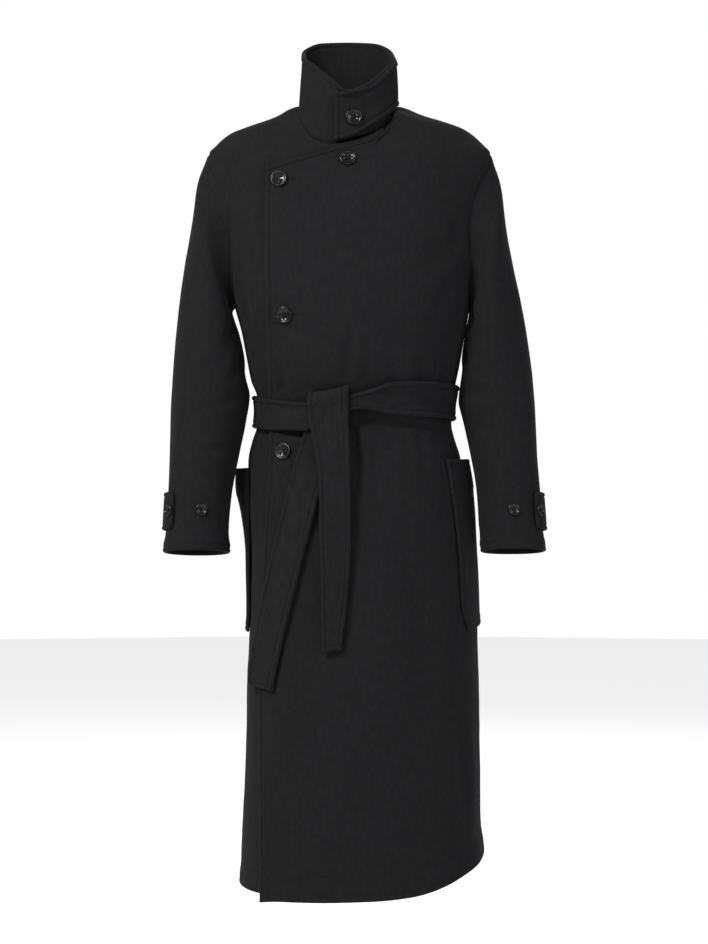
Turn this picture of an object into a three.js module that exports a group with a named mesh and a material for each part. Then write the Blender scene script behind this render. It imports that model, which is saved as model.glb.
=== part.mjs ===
// Wool coat: a long wrap coat with its own belt, in millimetres.
// +Z is up, +X is the wearer's left and -Y the front. The origin is the middle of the neck base.
// Turns are radians round the body: 0 at the wearer's left side, a quarter turn at the front.
import * as THREE from "three";

// Cloth, seams and overlaps
const clothThickness = 3;
const seamGap = 0.2;
const wrapLift = 4.6;
const backEase = 1.02;
const lyingGap = 1;

// Heights of the pattern's marks
const shoulderPoint = -72;
const underarm = -320;
const hemStart = -1110;

// Where the hidden edge of the under front and the visible edge of the over front lie
const hiddenEdgeTurn = 1.15;
const frontEdge = [
  { height: -106, x: -127 },
  { height: -200, x: -127 },
  { height: -300, x: -123 },
  { height: -375, x: -120 },
  { height: -450, x: -118 },
  { height: -540, x: -117 },
  { height: -700, x: -124 },
  { height: -942, x: -131 },
  { height: -1250, x: -129 },
];

// The coat's hollow form: half widths and depths of its level sections, inner face of the cloth
const body = [
  { height: 30, middle: 1, half: 78, front: 20, back: 71, square: 2.2 },
  { height: 20, middle: 1, half: 78, front: 24, back: 77, square: 2.2 },
  { height: 12, middle: 1, half: 78, front: 28, back: 81, square: 2.2 },
  { height: 5, middle: 1, half: 78, front: 34, back: 85, square: 2.2 },
  { height: -3, middle: 2, half: 97, front: 40, back: 89, square: 2.2 },
  { height: -13, middle: 5, half: 117, front: 47, back: 93, square: 2.2 },
  { height: -22, middle: 8, half: 143, front: 53, back: 97, square: 2.2 },
  { height: -32, middle: 8, half: 171, front: 59, back: 101, square: 2.2 },
  { height: -41, middle: 5, half: 190, front: 63, back: 104, square: 2.2 },
  { height: -51, middle: 4, half: 203, front: 68, back: 107, square: 2.2 },
  { height: -61, middle: 4, half: 213, front: 74, back: 110, square: 2.2 },
  { height: -72, middle: 3, half: 223, front: 80, back: 113, square: 2.25 },
  { height: -88, middle: 2, half: 226, front: 88, back: 117, square: 2.3 },
  { height: -108, middle: 2, half: 224, front: 96, back: 121, square: 2.35 },
  { height: -132, middle: 3, half: 219, front: 103, back: 125, square: 2.4 },
  { height: -165, middle: 3, half: 211, front: 112, back: 129, square: 2.4 },
  { height: -200, middle: 3, half: 204, front: 121, back: 132, square: 2.4 },
  { height: -240, middle: 4, half: 198, front: 129, back: 134, square: 2.45 },
  { height: -280, middle: 5, half: 191, front: 136, back: 135, square: 2.5 },
  { height: -320, middle: 7, half: 183, front: 141, back: 134, square: 2.5 },
  { height: -360, middle: 9, half: 174, front: 143, back: 131, square: 2.45 },
  { height: -400, middle: 9, half: 167, front: 141, back: 126, square: 2.4 },
  { height: -432, middle: 9, half: 161, front: 134, back: 119, square: 2.35 },
  { height: -456, middle: 11, half: 154, front: 125, back: 112, square: 2.3 },
  { height: -480, middle: 11, half: 151, front: 119, back: 107, square: 2.3 },
  { height: -505, middle: 10, half: 152, front: 119, back: 107, square: 2.3 },
  { height: -530, middle: 9, half: 159, front: 125, back: 113, square: 2.3 },
  { height: -556, middle: 10, half: 166, front: 131, back: 120, square: 2.3 },
  { height: -600, middle: 14, half: 170, front: 138, back: 128, square: 2.3 },
  { height: -650, middle: 18, half: 174, front: 145, back: 135, square: 2.3 },
  { height: -730, middle: 22, half: 177, front: 152, back: 143, square: 2.35 },
  { height: -830, middle: 24, half: 179, front: 158, back: 150, square: 2.35 },
  { height: -930, middle: 24, half: 182, front: 163, back: 156, square: 2.35 },
  { height: -1030, middle: 23, half: 184, front: 168, back: 160, square: 2.35 },
  { height: -1130, middle: 22, half: 187, front: 172, back: 164, square: 2.35 },
  { height: -1250, middle: 24, half: 191, front: 176, back: 168, square: 2.35 },
];

// Broad folds: each rises or sinks over a stretch of height and fades to its sides
const bodyFolds = [
  { turn: 1.52, spread: 0.16, top: -322, bottom: -455, rise: 3, full: -405 },
  { turn: 2.5, spread: 0.14, top: -360, bottom: -462, rise: -3, full: -430 },
  { turn: 0.75, spread: 0.2, top: -330, bottom: -460, rise: 3, full: -420 },
  { turn: 1.42, spread: 0.12, top: -522, bottom: -660, rise: -4, full: -560 },
  { turn: 0.55, spread: 0.22, top: -840, bottom: -1500, rise: 4, full: -1240 },
  { turn: 1.25, spread: 0.2, top: -700, bottom: -1500, rise: -3, full: -1240 },
  { turn: 3.62, spread: 0.2, top: -600, bottom: -1500, rise: 5, full: -1200 },
  { turn: 4.1, spread: 0.18, top: -540, bottom: -1500, rise: -6, full: -1200 },
  { turn: 4.65, spread: 0.22, top: -560, bottom: -1500, rise: 5, full: -1200 },
  { turn: 5.2, spread: 0.18, top: -540, bottom: -1500, rise: -6, full: -1200 },
  { turn: 5.7, spread: 0.2, top: -600, bottom: -1500, rise: 5, full: -1200 },
  { turn: 4.3, spread: 0.14, top: -330, bottom: -470, rise: 4, full: -425 },
  { turn: 5.1, spread: 0.14, top: -330, bottom: -470, rise: 4, full: -425 },
];

// Half width of the body between the armhole seams
const armhole = [
  { height: -72, half: 223 },
  { height: -88, half: 220 },
  { height: -108, half: 211.5 },
  { height: -132, half: 200 },
  { height: -160, half: 190 },
  { height: -192, half: 185.5 },
  { height: -228, half: 184.5 },
  { height: -264, half: 184 },
  { height: -296, half: 183.2 },
  { height: -312, half: 183 },
  { height: -320, half: 183 },
];

// Marks of the panels' top edges, seen from the front: shoulder seam, then neck
const shoulderSeam = [-72, -52, -32, -12, 5];
const neckUnder = [
  { x: -76, height: -13 },
  { x: -69, height: -36 },
  { x: -55, height: -56 },
  { x: -28, height: -65 },
  { x: 5, height: -60 },
  { x: 33, height: -51 },
  { x: 56, height: -38 },
];
const neckOver = [
  { x: 75, height: -12 },
  { x: 68, height: -29 },
  { x: 60, height: -56 },
  { x: 28, height: -66 },
  { x: -5, height: -75 },
  { x: -45, height: -85 },
  { x: -86, height: -95 },
  { x: -126, height: -106 },
];
const neckBack = [
  { x: -70, height: 16 },
  { x: -50, height: 22 },
  { x: -26, height: 26 },
  { x: 0, height: 28 },
  { x: 26, height: 26 },
  { x: 50, height: 22 },
  { x: 70, height: 16 },
];

// Level rows of the panels below the underarm, then the last rows down to the hem
const levelRows = [
  -348, -376, -404, -430, -456, -480, -505, -530, -556, -600, -650, -730, -830, -930, -1030,
  hemStart,
];
const hemRows = [0.55, 1];
const overHem = [
  { turn: 0, height: -1177 },
  { turn: 0.5, height: -1192 },
  { turn: 0.9, height: -1212 },
  { turn: 1.25, height: -1226 },
  { turn: 1.7, height: -1232 },
  { turn: 2.2, height: -1236 },
  { turn: 2.6, height: -1246 },
];
const underHem = [
  { turn: 1.1, height: -1222 },
  { turn: 2.2, height: -1229 },
  { turn: 3.2, height: -1230 },
];
const backHem = [
  { turn: 3.1, height: -1230 },
  { turn: 3.9, height: -1224 },
  { turn: 4.7, height: -1210 },
  { turn: 5.6, height: -1192 },
  { turn: 6.3, height: -1177 },
];

// Shares of the way between the coat's lengthwise lines
const leftShares = [0, 0.13, 0.32, 0.55, 0.72, 0.87, 1];
const wrapShares = [0, 1, 2, 3, 4, 5, 6].map((n) => n / 6);
const rightShares = [0, 0.2, 0.4, 0.6, 0.8, 1];
const backTurns = [0, 0.15, 0.35, 0.58, 0.8, 0.99, 1.18, 1.38];

// Sleeves, as loops from their outer line to their inner line; loops lean near the armhole
const leftSleeve = [
  { outer: 246, outerHeight: -146, inner: 196, innerHeight: -331, depth: 80, middle: 0, rear: 0 },
  { outer: 252, outerHeight: -196, inner: 190, innerHeight: -352, depth: 84, middle: -2, rear: 0 },
  { outer: 262, outerHeight: -252, inner: 184, innerHeight: -376, depth: 84, middle: -5, rear: 0 },
  { outer: 274, outerHeight: -312, inner: 180, innerHeight: -404, depth: 81, middle: -10, rear: 0 },
  { outer: 285, outerHeight: -372, inner: 173, innerHeight: -432, depth: 77, middle: -15, rear: 0 },
  { outer: 292, outerHeight: -430, inner: 176, innerHeight: -462, depth: 73, middle: -21, rear: 0 },
  { outer: 296, outerHeight: -492, inner: 187, innerHeight: -508, depth: 69, middle: -28, rear: 0 },
  { outer: 298, outerHeight: -552, inner: 197, innerHeight: -558, depth: 64, middle: -36, rear: 2 },
  { outer: 302, outerHeight: -612, inner: 205, innerHeight: -614, depth: 58, middle: -46, rear: 4 },
  { outer: 305, outerHeight: -660, inner: 208, innerHeight: -662, depth: 54, middle: -54, rear: 5 },
  { outer: 307, outerHeight: -704, inner: 214, innerHeight: -704, depth: 52, middle: -62, rear: 6 },
];
const rightSleeve = [
  { outer: 243, outerHeight: -146, inner: 188, innerHeight: -331, depth: 80, middle: 0, rear: 0 },
  { outer: 250, outerHeight: -196, inner: 176, innerHeight: -352, depth: 84, middle: -2, rear: 0 },
  { outer: 259, outerHeight: -252, inner: 170, innerHeight: -376, depth: 84, middle: -5, rear: 0 },
  { outer: 267, outerHeight: -312, inner: 164, innerHeight: -404, depth: 81, middle: -10, rear: 0 },
  { outer: 273, outerHeight: -372, inner: 157, innerHeight: -432, depth: 77, middle: -15, rear: 0 },
  { outer: 277, outerHeight: -430, inner: 158, innerHeight: -462, depth: 73, middle: -21, rear: 0 },
  { outer: 280, outerHeight: -492, inner: 165, innerHeight: -508, depth: 69, middle: -28, rear: 0 },
  { outer: 281, outerHeight: -552, inner: 175, innerHeight: -558, depth: 64, middle: -36, rear: 2 },
  { outer: 282, outerHeight: -612, inner: 185, innerHeight: -614, depth: 58, middle: -46, rear: 4 },
  { outer: 284, outerHeight: -660, inner: 189, innerHeight: -662, depth: 54, middle: -54, rear: 5 },
  { outer: 286, outerHeight: -706, inner: 190, innerHeight: -706, depth: 52, middle: -62, rear: 6 },
];
const sleeveSquare = 2.15;
const sleeveStart = [0.18, 0.42, 0.7];
const sleeveClear = clothThickness * 1.5 + 1.3;
const sleeveOverBelt = { top: -395, full: -428, end: -505, bottom: -535, out: 8.8 };

// Collar band: its foot follows the neck, its rim stands round it
const collarThickness = 6;
const collarFrom = -1.2;
const collarTo = 2 * Math.PI + 0.29;
const collarColumns = 30;
const collarRows = [0, 0.16, 0.34, 0.52, 0.7, 0.88, 1];
const lapLift = 6.8;
// Round the neck from the front middle towards the wearer's right
const collarRing = [
  { turn: -1.4, footX: 76, footY: -20, foot: -8, rimX: 74, rimY: -18, rim: 76 },
  { turn: -1, footX: 62, footY: -47, foot: -30, rimX: 58, rimY: -46, rim: 56 },
  { turn: -0.5, footX: 34, footY: -68, foot: -46, rimX: 30, rimY: -70, rim: 31 },
  { turn: 0, footX: 0, footY: -76, foot: -54, rimX: 0, rimY: -79, rim: 20 },
  { turn: 0.4, footX: -30, footY: -74, foot: -60, rimX: -31, rimY: -68, rim: 43 },
  { turn: 0.9, footX: -60, footY: -58, foot: -46, rimX: -57, rimY: -46, rim: 66 },
  { turn: 1.4, footX: -76, footY: -20, foot: -8, rimX: -72, rimY: -20, rim: 80 },
  { turn: 1.9, footX: -74, footY: 26, foot: 16, rimX: -74, rimY: 26, rim: 98 },
  { turn: 2.5, footX: -46, footY: 61, foot: 27, rimX: -46, rimY: 64, rim: 115 },
  { turn: 3.14, footX: 0, footY: 70, foot: 32, rimX: 0, rimY: 76, rim: 122 },
  { turn: 3.78, footX: 46, footY: 61, foot: 27, rimX: 45, rimY: 64, rim: 115 },
  { turn: 4.38, footX: 74, footY: 26, foot: 16, rimX: 71, rimY: 26, rim: 98 },
  { turn: 4.88, footX: 75, footY: -20, foot: 4, rimX: 71, rimY: -20, rim: 75 },
  { turn: 5.38, footX: 60, footY: -50, foot: -15, rimX: 53, rimY: -50, rim: 49 },
  { turn: 5.78, footX: 34, footY: -68, foot: -37, rimX: 30, rimY: -70, rim: 26 },
  { turn: 6.28, footX: 0, footY: -76, foot: -56, rimX: 0, rimY: -80, rim: 17 },
  { turn: 6.7, footX: -30, footY: -74, foot: -62, rimX: -30, rimY: -74, rim: 14 },
];
const collarPinch = { x: 2, height: -27, wide: 34, tall: 17, sink: 5 };

// Belt: its own height and half width round the waist, and the tails of its half knot
const beltThickness = 6.5;
const beltKnot = { turn: 1.8, lift: 8, full: 0.28, end: 0.62 };
const beltRing = [
  { turn: 0, middle: -469, half: 28 },
  { turn: 0.9, middle: -464, half: 29 },
  { turn: 1.3, middle: -463, half: 27 },
  { turn: 1.48, middle: -464, half: 19 },
  { turn: 1.6, middle: -469, half: 16 },
  { turn: 1.8, middle: -483, half: 24 },
  { turn: 1.97, middle: -494, half: 28.5 },
  { turn: 2.4, middle: -491, half: 28 },
  { turn: 3.14, middle: -483, half: 27.5 },
  { turn: 4.7, middle: -478, half: 28 },
  { turn: 6.29, middle: -469, half: 28 },
];
const bandRows = [
  { share: 1, thick: 0.7 },
  { share: 0.92, thick: 1 },
  { share: 0, thick: 1 },
  { share: -0.92, thick: 1 },
  { share: -1, thick: 0.7 },
];
// The tail that comes up behind the belt, over it and down in front; out is from the coat's form
const knotTail = [
  { x: -27, height: -492, out: 12.2, half: 24, tilt: 0.2, follow: 1 },
  { x: -27, height: -476, out: 12.2, half: 27, tilt: 0.24, follow: 1 },
  { x: -27, height: -457, out: 12.2, half: 28.5, tilt: 0.25, follow: 1 },
  { x: -27, height: -450.5, out: 14.5, half: 29, tilt: 0.25, follow: 1 },
  { x: -27, height: -448, out: 19.8, half: 29, tilt: 0.25, follow: 1 },
  { x: -27, height: -450.5, out: 25.2, half: 29, tilt: 0.25, follow: 1 },
  { x: -27, height: -457, out: 27.6, half: 29, tilt: 0.25, follow: 0.9 },
  { x: -26, height: -480, out: 27.8, half: 28.8, tilt: 0.2, follow: 0.7 },
  { x: -25, height: -512, out: 27.8, half: 28.4, tilt: 0.12, follow: 0.5 },
  { x: -21, height: -550, out: 25, half: 26, tilt: 0.06, follow: 0.3 },
  { x: -18, height: -602, out: 21, half: 24, tilt: 0.03, follow: 0.2 },
  { x: -17, height: -655, out: 19.6, half: 24, tilt: 0, follow: 0.2 },
  { x: -17, height: -714, out: 15, half: 22.5, tilt: 0.04, follow: 0.2 },
  { x: -19, height: -785, out: 12.6, half: 19.5, tilt: 0.12, follow: 0.2 },
  { x: -22, height: -853, out: 12.6, half: 14.5, tilt: 0.2, follow: 0.2 },
];
// The tail that comes out under it
const underTail = [
  { x: -40, height: -514, out: 12.4, half: 22, tilt: -0.06, follow: 1 },
  { x: -46, height: -542, out: 13, half: 23, tilt: -0.1, follow: 1 },
  { x: -54, height: -573, out: 13, half: 24, tilt: -0.14, follow: 0.8 },
  { x: -70, height: -640, out: 13, half: 25, tilt: -0.18, follow: 0.4 },
  { x: -84, height: -700, out: 13.4, half: 25.5, tilt: -0.18, follow: 0.3 },
  { x: -100, height: -775, out: 13.4, half: 26, tilt: -0.18, follow: 0.3 },
  { x: -115, height: -851, out: 13.2, half: 26, tilt: -0.16, follow: 0.3 },
  { x: -125, height: -914, out: 12.8, half: 25, tilt: -0.1, follow: 0.3 },
];

// Patch pockets: out rows from the mouth down, how far the cloth stands off the coat
const pocketThickness = 3.5;
const pocketRows = [0, 0.12, 0.3, 0.5, 0.72, 0.9, 1];
const leftPocket = {
  top: -561,
  bottom: -827,
  rise: 22,
  stand: [
    { share: 0, out: 8 },
    { share: 0.12, out: 8 },
    { share: 0.3, out: 5 },
    { share: 0.6, out: 1 },
    { share: 1, out: 0 },
  ],
};
const rightPocket = {
  top: -573,
  bottom: -832,
  rise: 8,
  stand: [
    { share: 0, out: 18 },
    { share: 0.1, out: 19 },
    { share: 0.3, out: 9 },
    { share: 0.55, out: 1 },
    { share: 1, out: 0 },
  ],
};

// Cuff straps and buttons
const strapThickness = 5.5;
const strapTop = -612;
const strapBottom = -671;
const strapTurns = [-2.2, -1.885, -1.571, -1.257, -0.942, -0.628, -0.314, 0, 0.314, 0.628, 0.84];
const frontButton = { radius: 13, thickness: 4.2 };
const cuffButton = { radius: 9.5, thickness: 3.6 };
const buttonSides = 14;

const clamp = (value, low = 0, high = 1) => Math.min(high, Math.max(low, value));
const mix = (from, to, share) => from + (to - from) * share;
const smooth = (share) => {
  const t = clamp(share);
  return t * t * (3 - 2 * t);
};
const raise = (value, power) => Math.sign(value) * Math.abs(value) ** power;

// Reads a column of a table at a place between its rows, along a smooth curve that never overshoots.
function read(table, column, at, key = "height") {
  const way = Math.sign(table[1][key] - table[0][key]);
  let row = 0;
  while (row < table.length - 2 && way * (at - table[row + 1][key]) > 0) row++;
  const slope = (n) =>
    (table[n + 1][column] - table[n][column]) / (table[n + 1][key] - table[n][key]);
  const tangent = (n) => {
    if (n === 0) return slope(0);
    if (n === table.length - 1) return slope(n - 1);
    const before = slope(n - 1);
    const after = slope(n);
    return before * after <= 0 ? 0 : (2 * before * after) / (before + after);
  };
  const span = table[row + 1][key] - table[row][key];
  const t = clamp((at - table[row][key]) / span);
  const from = table[row][column];
  const to = table[row + 1][column];
  return (
    mix(from, to, t * t * (3 - 2 * t)) +
    span * t * (1 - t) * (tangent(row) * (1 - t) - tangent(row + 1) * t)
  );
}

// How far the broad folds push the cloth out at a place.
function foldAt(turn, height) {
  let rise = 0;
  for (const fold of bodyFolds) {
    const away = Math.abs(((turn - fold.turn + 3 * Math.PI) % (2 * Math.PI)) - Math.PI);
    const across = Math.exp(-((away / fold.spread) ** 2));
    const along =
      height > fold.full
        ? smooth((fold.top - height) / (fold.top - fold.full))
        : smooth((height - fold.bottom) / (fold.full - fold.bottom));
    rise += fold.rise * across * along;
  }
  return rise;
}

// A point of the coat's form.
function onBody(turn, height) {
  const power = 2 / read(body, "square", height);
  const across = Math.cos(turn);
  const forward = Math.sin(turn);
  const depth = read(body, forward > 0 ? "front" : "back", height);
  const rise = foldAt(turn, height);
  return new THREE.Vector3(
    read(body, "middle", height) + (read(body, "half", height) + rise) * raise(across, power),
    -(depth + rise) * raise(forward, power),
    height,
  );
}

function bodyNormal(turn, height) {
  const around = onBody(turn + 0.02, height).sub(onBody(turn - 0.02, height));
  const up = onBody(turn, height + 2).sub(onBody(turn, height - 2));
  return up.cross(around).normalize();
}

// The point that stands out from the coat's form by a distance.
function offBody(turn, height, out) {
  return onBody(turn, height).addScaledVector(bodyNormal(turn, height), out);
}

// The turn at which the front of the form reaches a place across.
function turnAt(x, height) {
  const share = clamp((x - read(body, "middle", height)) / read(body, "half", height), -1, 1);
  return Math.acos(raise(share, read(body, "square", height) / 2));
}

const frontEdgeTurn = (height) => turnAt(read(frontEdge, "x", height), height);

// Half the turn that the armhole opens to the front or back at a height.
function armholeTurn(height) {
  const share = clamp(read(armhole, "half", height) / read(body, "half", height));
  return Math.acos(share ** (read(body, "square", height) / 2));
}

// The over front is lifted off the form where the under front lies below it.
function wrapLiftAt(turn) {
  return wrapLift * smooth((turn - (hiddenEdgeTurn - 0.5)) / 0.45);
}

// Lengthwise lines shared by the fronts, so that what lies on another piece has the same facets
function overLines(height) {
  const edge = frontEdgeTurn(height);
  return [
    ...leftShares.map((share) => share * hiddenEdgeTurn),
    ...wrapShares.slice(1).map((share) => mix(hiddenEdgeTurn, edge, share)),
  ];
}
function underLines(height) {
  const edge = frontEdgeTurn(height);
  return [
    ...rightShares.map((share) => mix(Math.PI, edge, share)),
    ...wrapShares.slice(1).map((share) => mix(edge, hiddenEdgeTurn, share)),
  ];
}
function backLines() {
  const half = backTurns.map((turn) => Math.PI + turn);
  return [...half, 1.5 * Math.PI, ...half.map((turn) => 3 * Math.PI - turn).reverse()];
}

// Fills the upper part of a panel between its top edge, its two sides and the underarm row.
function upperRows(top, lines, firstSide, lastSide) {
  const last = top.length - 1;
  return armhole.slice(0, -1).map(({ height }, n) => {
    const down = n === 0 ? 0 : (shoulderPoint - height) / (shoulderPoint - underarm);
    return top.map((mark, column) => {
      const share = column / last;
      const place = {};
      for (const key of ["turn", "height"]) {
        const low = (index) => (key === "turn" ? lines[index] : underarm);
        const corners =
          mix(mix(top[0][key], top[last][key], share), mix(low(0), low(last), share), down);
        place[key] =
          mix(mark[key], low(column), down) +
          mix(firstSide(down)[key], lastSide(down)[key], share) -
          corners;
      }
      return place;
    });
  });
}

// The places of a whole panel, row by row from its top edge to its hem.
function panelPlaces(top, linesAt, firstSide, lastSide, hem) {
  const low = linesAt(hemStart);
  return [
    ...upperRows(top, linesAt(underarm), firstSide, lastSide),
    ...[underarm, ...levelRows].map((height) => linesAt(height).map((turn) => ({ turn, height }))),
    ...hemRows.map((share) =>
      low.map((turn) => {
        const end = read(hem, "height", turn, "turn");
        return { turn, height: mix(hemStart, end, share) };
      }),
    ),
  ];
}

// Moves an edge of a sheet back along the sheet, so that the next piece stays clear.
function trimEdge(sheet, edge, distance) {
  const rows = sheet.length;
  const columns = sheet[0].length;
  const pairs = {
    first: () => sheet.map((row) => [row[0], row[1]]),
    last: () => sheet.map((row) => [row[columns - 1], row[columns - 2]]),
    top: () => sheet[0].map((point, n) => [point, sheet[1][n]]),
    bottom: () => sheet[rows - 1].map((point, n) => [point, sheet[rows - 2][n]]),
  }[edge]();
  for (const [point, neighbour] of pairs) {
    point.addScaledVector(neighbour.clone().sub(point).normalize(), distance);
  }
}

// Closes a wall of cloth between two sheets of points with the same rows and columns.
// The second half of a mirrored one is split the other way, so that both halves are alike.
function wallBetween(outer, inner, ring = false, mirrored = ring) {
  const rows = outer.length;
  const columns = outer[0].length;
  const points = [...outer.flat(), ...inner.flat()];
  const face = [];
  const at = (side, row, column) => side * rows * columns + row * columns + (column % columns);
  const quad = (a, b, c, d) => face.push(a, b, c, a, c, d);
  const crossed = (a, b, c, d) => face.push(a, b, d, b, c, d);
  const lastColumn = ring ? columns : columns - 1;
  for (let row = 0; row < rows - 1; row++) {
    for (let column = 0; column < lastColumn; column++) {
      const corners = [
        [row, column],
        [row + 1, column],
        [row + 1, column + 1],
        [row, column + 1],
      ];
      const split = mirrored && column >= Math.floor(columns / 2) ? crossed : quad;
      split(...corners.map(([r, c]) => at(0, r, c)));
      const [a, b, c, d] = corners.map(([r, c]) => at(1, r, c));
      if (split === quad) face.push(a, c, b, a, d, c);
      else face.push(a, d, b, b, d, c);
    }
  }
  for (let column = 0; column < lastColumn; column++) {
    quad(at(0, 0, column), at(0, 0, column + 1), at(1, 0, column + 1), at(1, 0, column));
    const row = rows - 1;
    quad(at(0, row, column), at(1, row, column), at(1, row, column + 1), at(0, row, column + 1));
  }
  for (let row = 0; row < rows - 1 && !ring; row++) {
    quad(at(0, row, 0), at(1, row, 0), at(1, row + 1, 0), at(0, row + 1, 0));
    const end = columns - 1;
    quad(at(0, row, end), at(0, row + 1, end), at(1, row + 1, end), at(1, row, end));
  }
  return closedSolid(points, face);
}

// A solid from points and faces, turned so that its faces look out.
function closedSolid(points, face) {
  let volume = 0;
  for (let n = 0; n < face.length; n += 3) {
    const [a, b, c] = [0, 1, 2].map((k) => points[face[n + k]]);
    volume += a.dot(b.clone().cross(c));
  }
  if (volume < 0) {
    for (let n = 0; n < face.length; n += 3) {
      [face[n + 1], face[n + 2]] = [face[n + 2], face[n + 1]];
    }
  }
  const geometry = new THREE.BufferGeometry();
  const flat = points.flatMap((point) => [point.x, point.y, point.z]);
  geometry.setAttribute("position", new THREE.Float32BufferAttribute(flat, 3));
  geometry.setIndex(face);
  geometry.computeVertexNormals();
  return geometry;
}

const coat = new THREE.Group();
coat.name = "wool_coat";
const wool = 0x222426;
const horn = 0x0b0b0c;

function addPiece(name, geometry, colour = wool) {
  const roughness = colour === wool ? 0.95 : 0.25;
  const material = new THREE.MeshStandardMaterial({ color: colour, roughness });
  material.name = colour === wool ? "wool" : "button";
  const piece = new THREE.Mesh(geometry, material);
  piece.name = name;
  coat.add(piece);
  return piece;
}

// Panels of the body
const sideAt = (turnOf) => (down) => {
  const height = mix(shoulderPoint, underarm, down);
  return { turn: turnOf(height), height };
};
const alongFront = (marks) => marks.map(({ x, height }) => ({ turn: turnAt(x, height), height }));
const seamMarks = (turn) => shoulderSeam.map((height) => ({ turn, height }));

const overTop = [...seamMarks(0), ...alongFront(neckOver)];
const overInner = (down) => {
  const height = mix(overTop.at(-1).height, underarm, down);
  return { turn: frontEdgeTurn(height), height };
};
const overPlaces = panelPlaces(overTop, overLines, sideAt(armholeTurn), overInner, overHem);

const underTop = [...seamMarks(Math.PI), ...alongFront(neckUnder)];
const underInner = (down) => ({
  turn: mix(underTop.at(-1).turn, hiddenEdgeTurn, down),
  height: mix(underTop.at(-1).height, underarm, down),
});
const rightArmhole = sideAt((height) => Math.PI - armholeTurn(height));
const underPlaces = panelPlaces(underTop, underLines, rightArmhole, underInner, underHem);

const backTop = [
  ...seamMarks(Math.PI),
  ...neckBack.map(({ x, height }) => ({ turn: 2 * Math.PI - turnAt(x, height), height })),
  ...seamMarks(2 * Math.PI).reverse(),
];
const backPlaces = panelPlaces(
  backTop,
  backLines,
  sideAt((height) => Math.PI + armholeTurn(height) * backEase),
  sideAt((height) => 2 * Math.PI - armholeTurn(height) * backEase),
  backHem,
);

function panelSheets(places, liftAt, edges) {
  const sheet = (out) =>
    places.map((row) =>
      row.map(({ turn, height }) => offBody(turn, height, out + liftAt(turn))),
    );
  const sheets = { outer: sheet(clothThickness), inner: sheet(0) };
  for (const points of Object.values(sheets)) {
    for (const edge of edges) trimEdge(points, edge, seamGap);
  }
  return sheets;
}
const noLift = () => 0;
const panels = {
  front_over: panelSheets(overPlaces, wrapLiftAt, ["first", "top"]),
  front_under: panelSheets(underPlaces, noLift, ["first", "top"]),
  back: panelSheets(backPlaces, noLift, ["first", "last", "top"]),
};
const made = {};
for (const [name, { outer, inner }] of Object.entries(panels)) {
  made[name] = addPiece(name, wallBetween(outer, inner, false, name === "back"));
}

// A point of a sleeve's loop; the turn runs from the outer line over the front.
function onLoop(loop, turn, side, bodyClear) {
  const power = 2 / sleeveSquare;
  const along = raise(Math.cos(turn), power);
  const forward = raise(Math.sin(turn), power);
  const share = (1 + along) / 2;
  const point = new THREE.Vector3(
    side * mix(loop.inner, loop.outer, share),
    loop.middle - loop.depth * forward,
    mix(loop.innerHeight, loop.outerHeight, share) + loop.rear * forward,
  );
  const { top, full, end, bottom, out } = sleeveOverBelt;
  const entering = smooth((top - point.z) / (top - full));
  const leaving = smooth((point.z - bottom) / (end - bottom));
  const clear = bodyClear > 0 ? bodyClear + out * Math.min(entering, leaving) : 0;
  const middle = read(body, "middle", point.z);
  const power2 = read(body, "square", point.z);
  const depth = read(body, point.y < 0 ? "front" : "back", point.z) + clear;
  const reach = read(body, "half", point.z) + clear;
  const inside = 1 - Math.abs(point.y / depth) ** power2;
  if (inside > 0) {
    const edge = middle + side * reach * inside ** (1 / power2);
    if (side * point.x < side * edge) point.x = edge;
  }
  return point;
}

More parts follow.
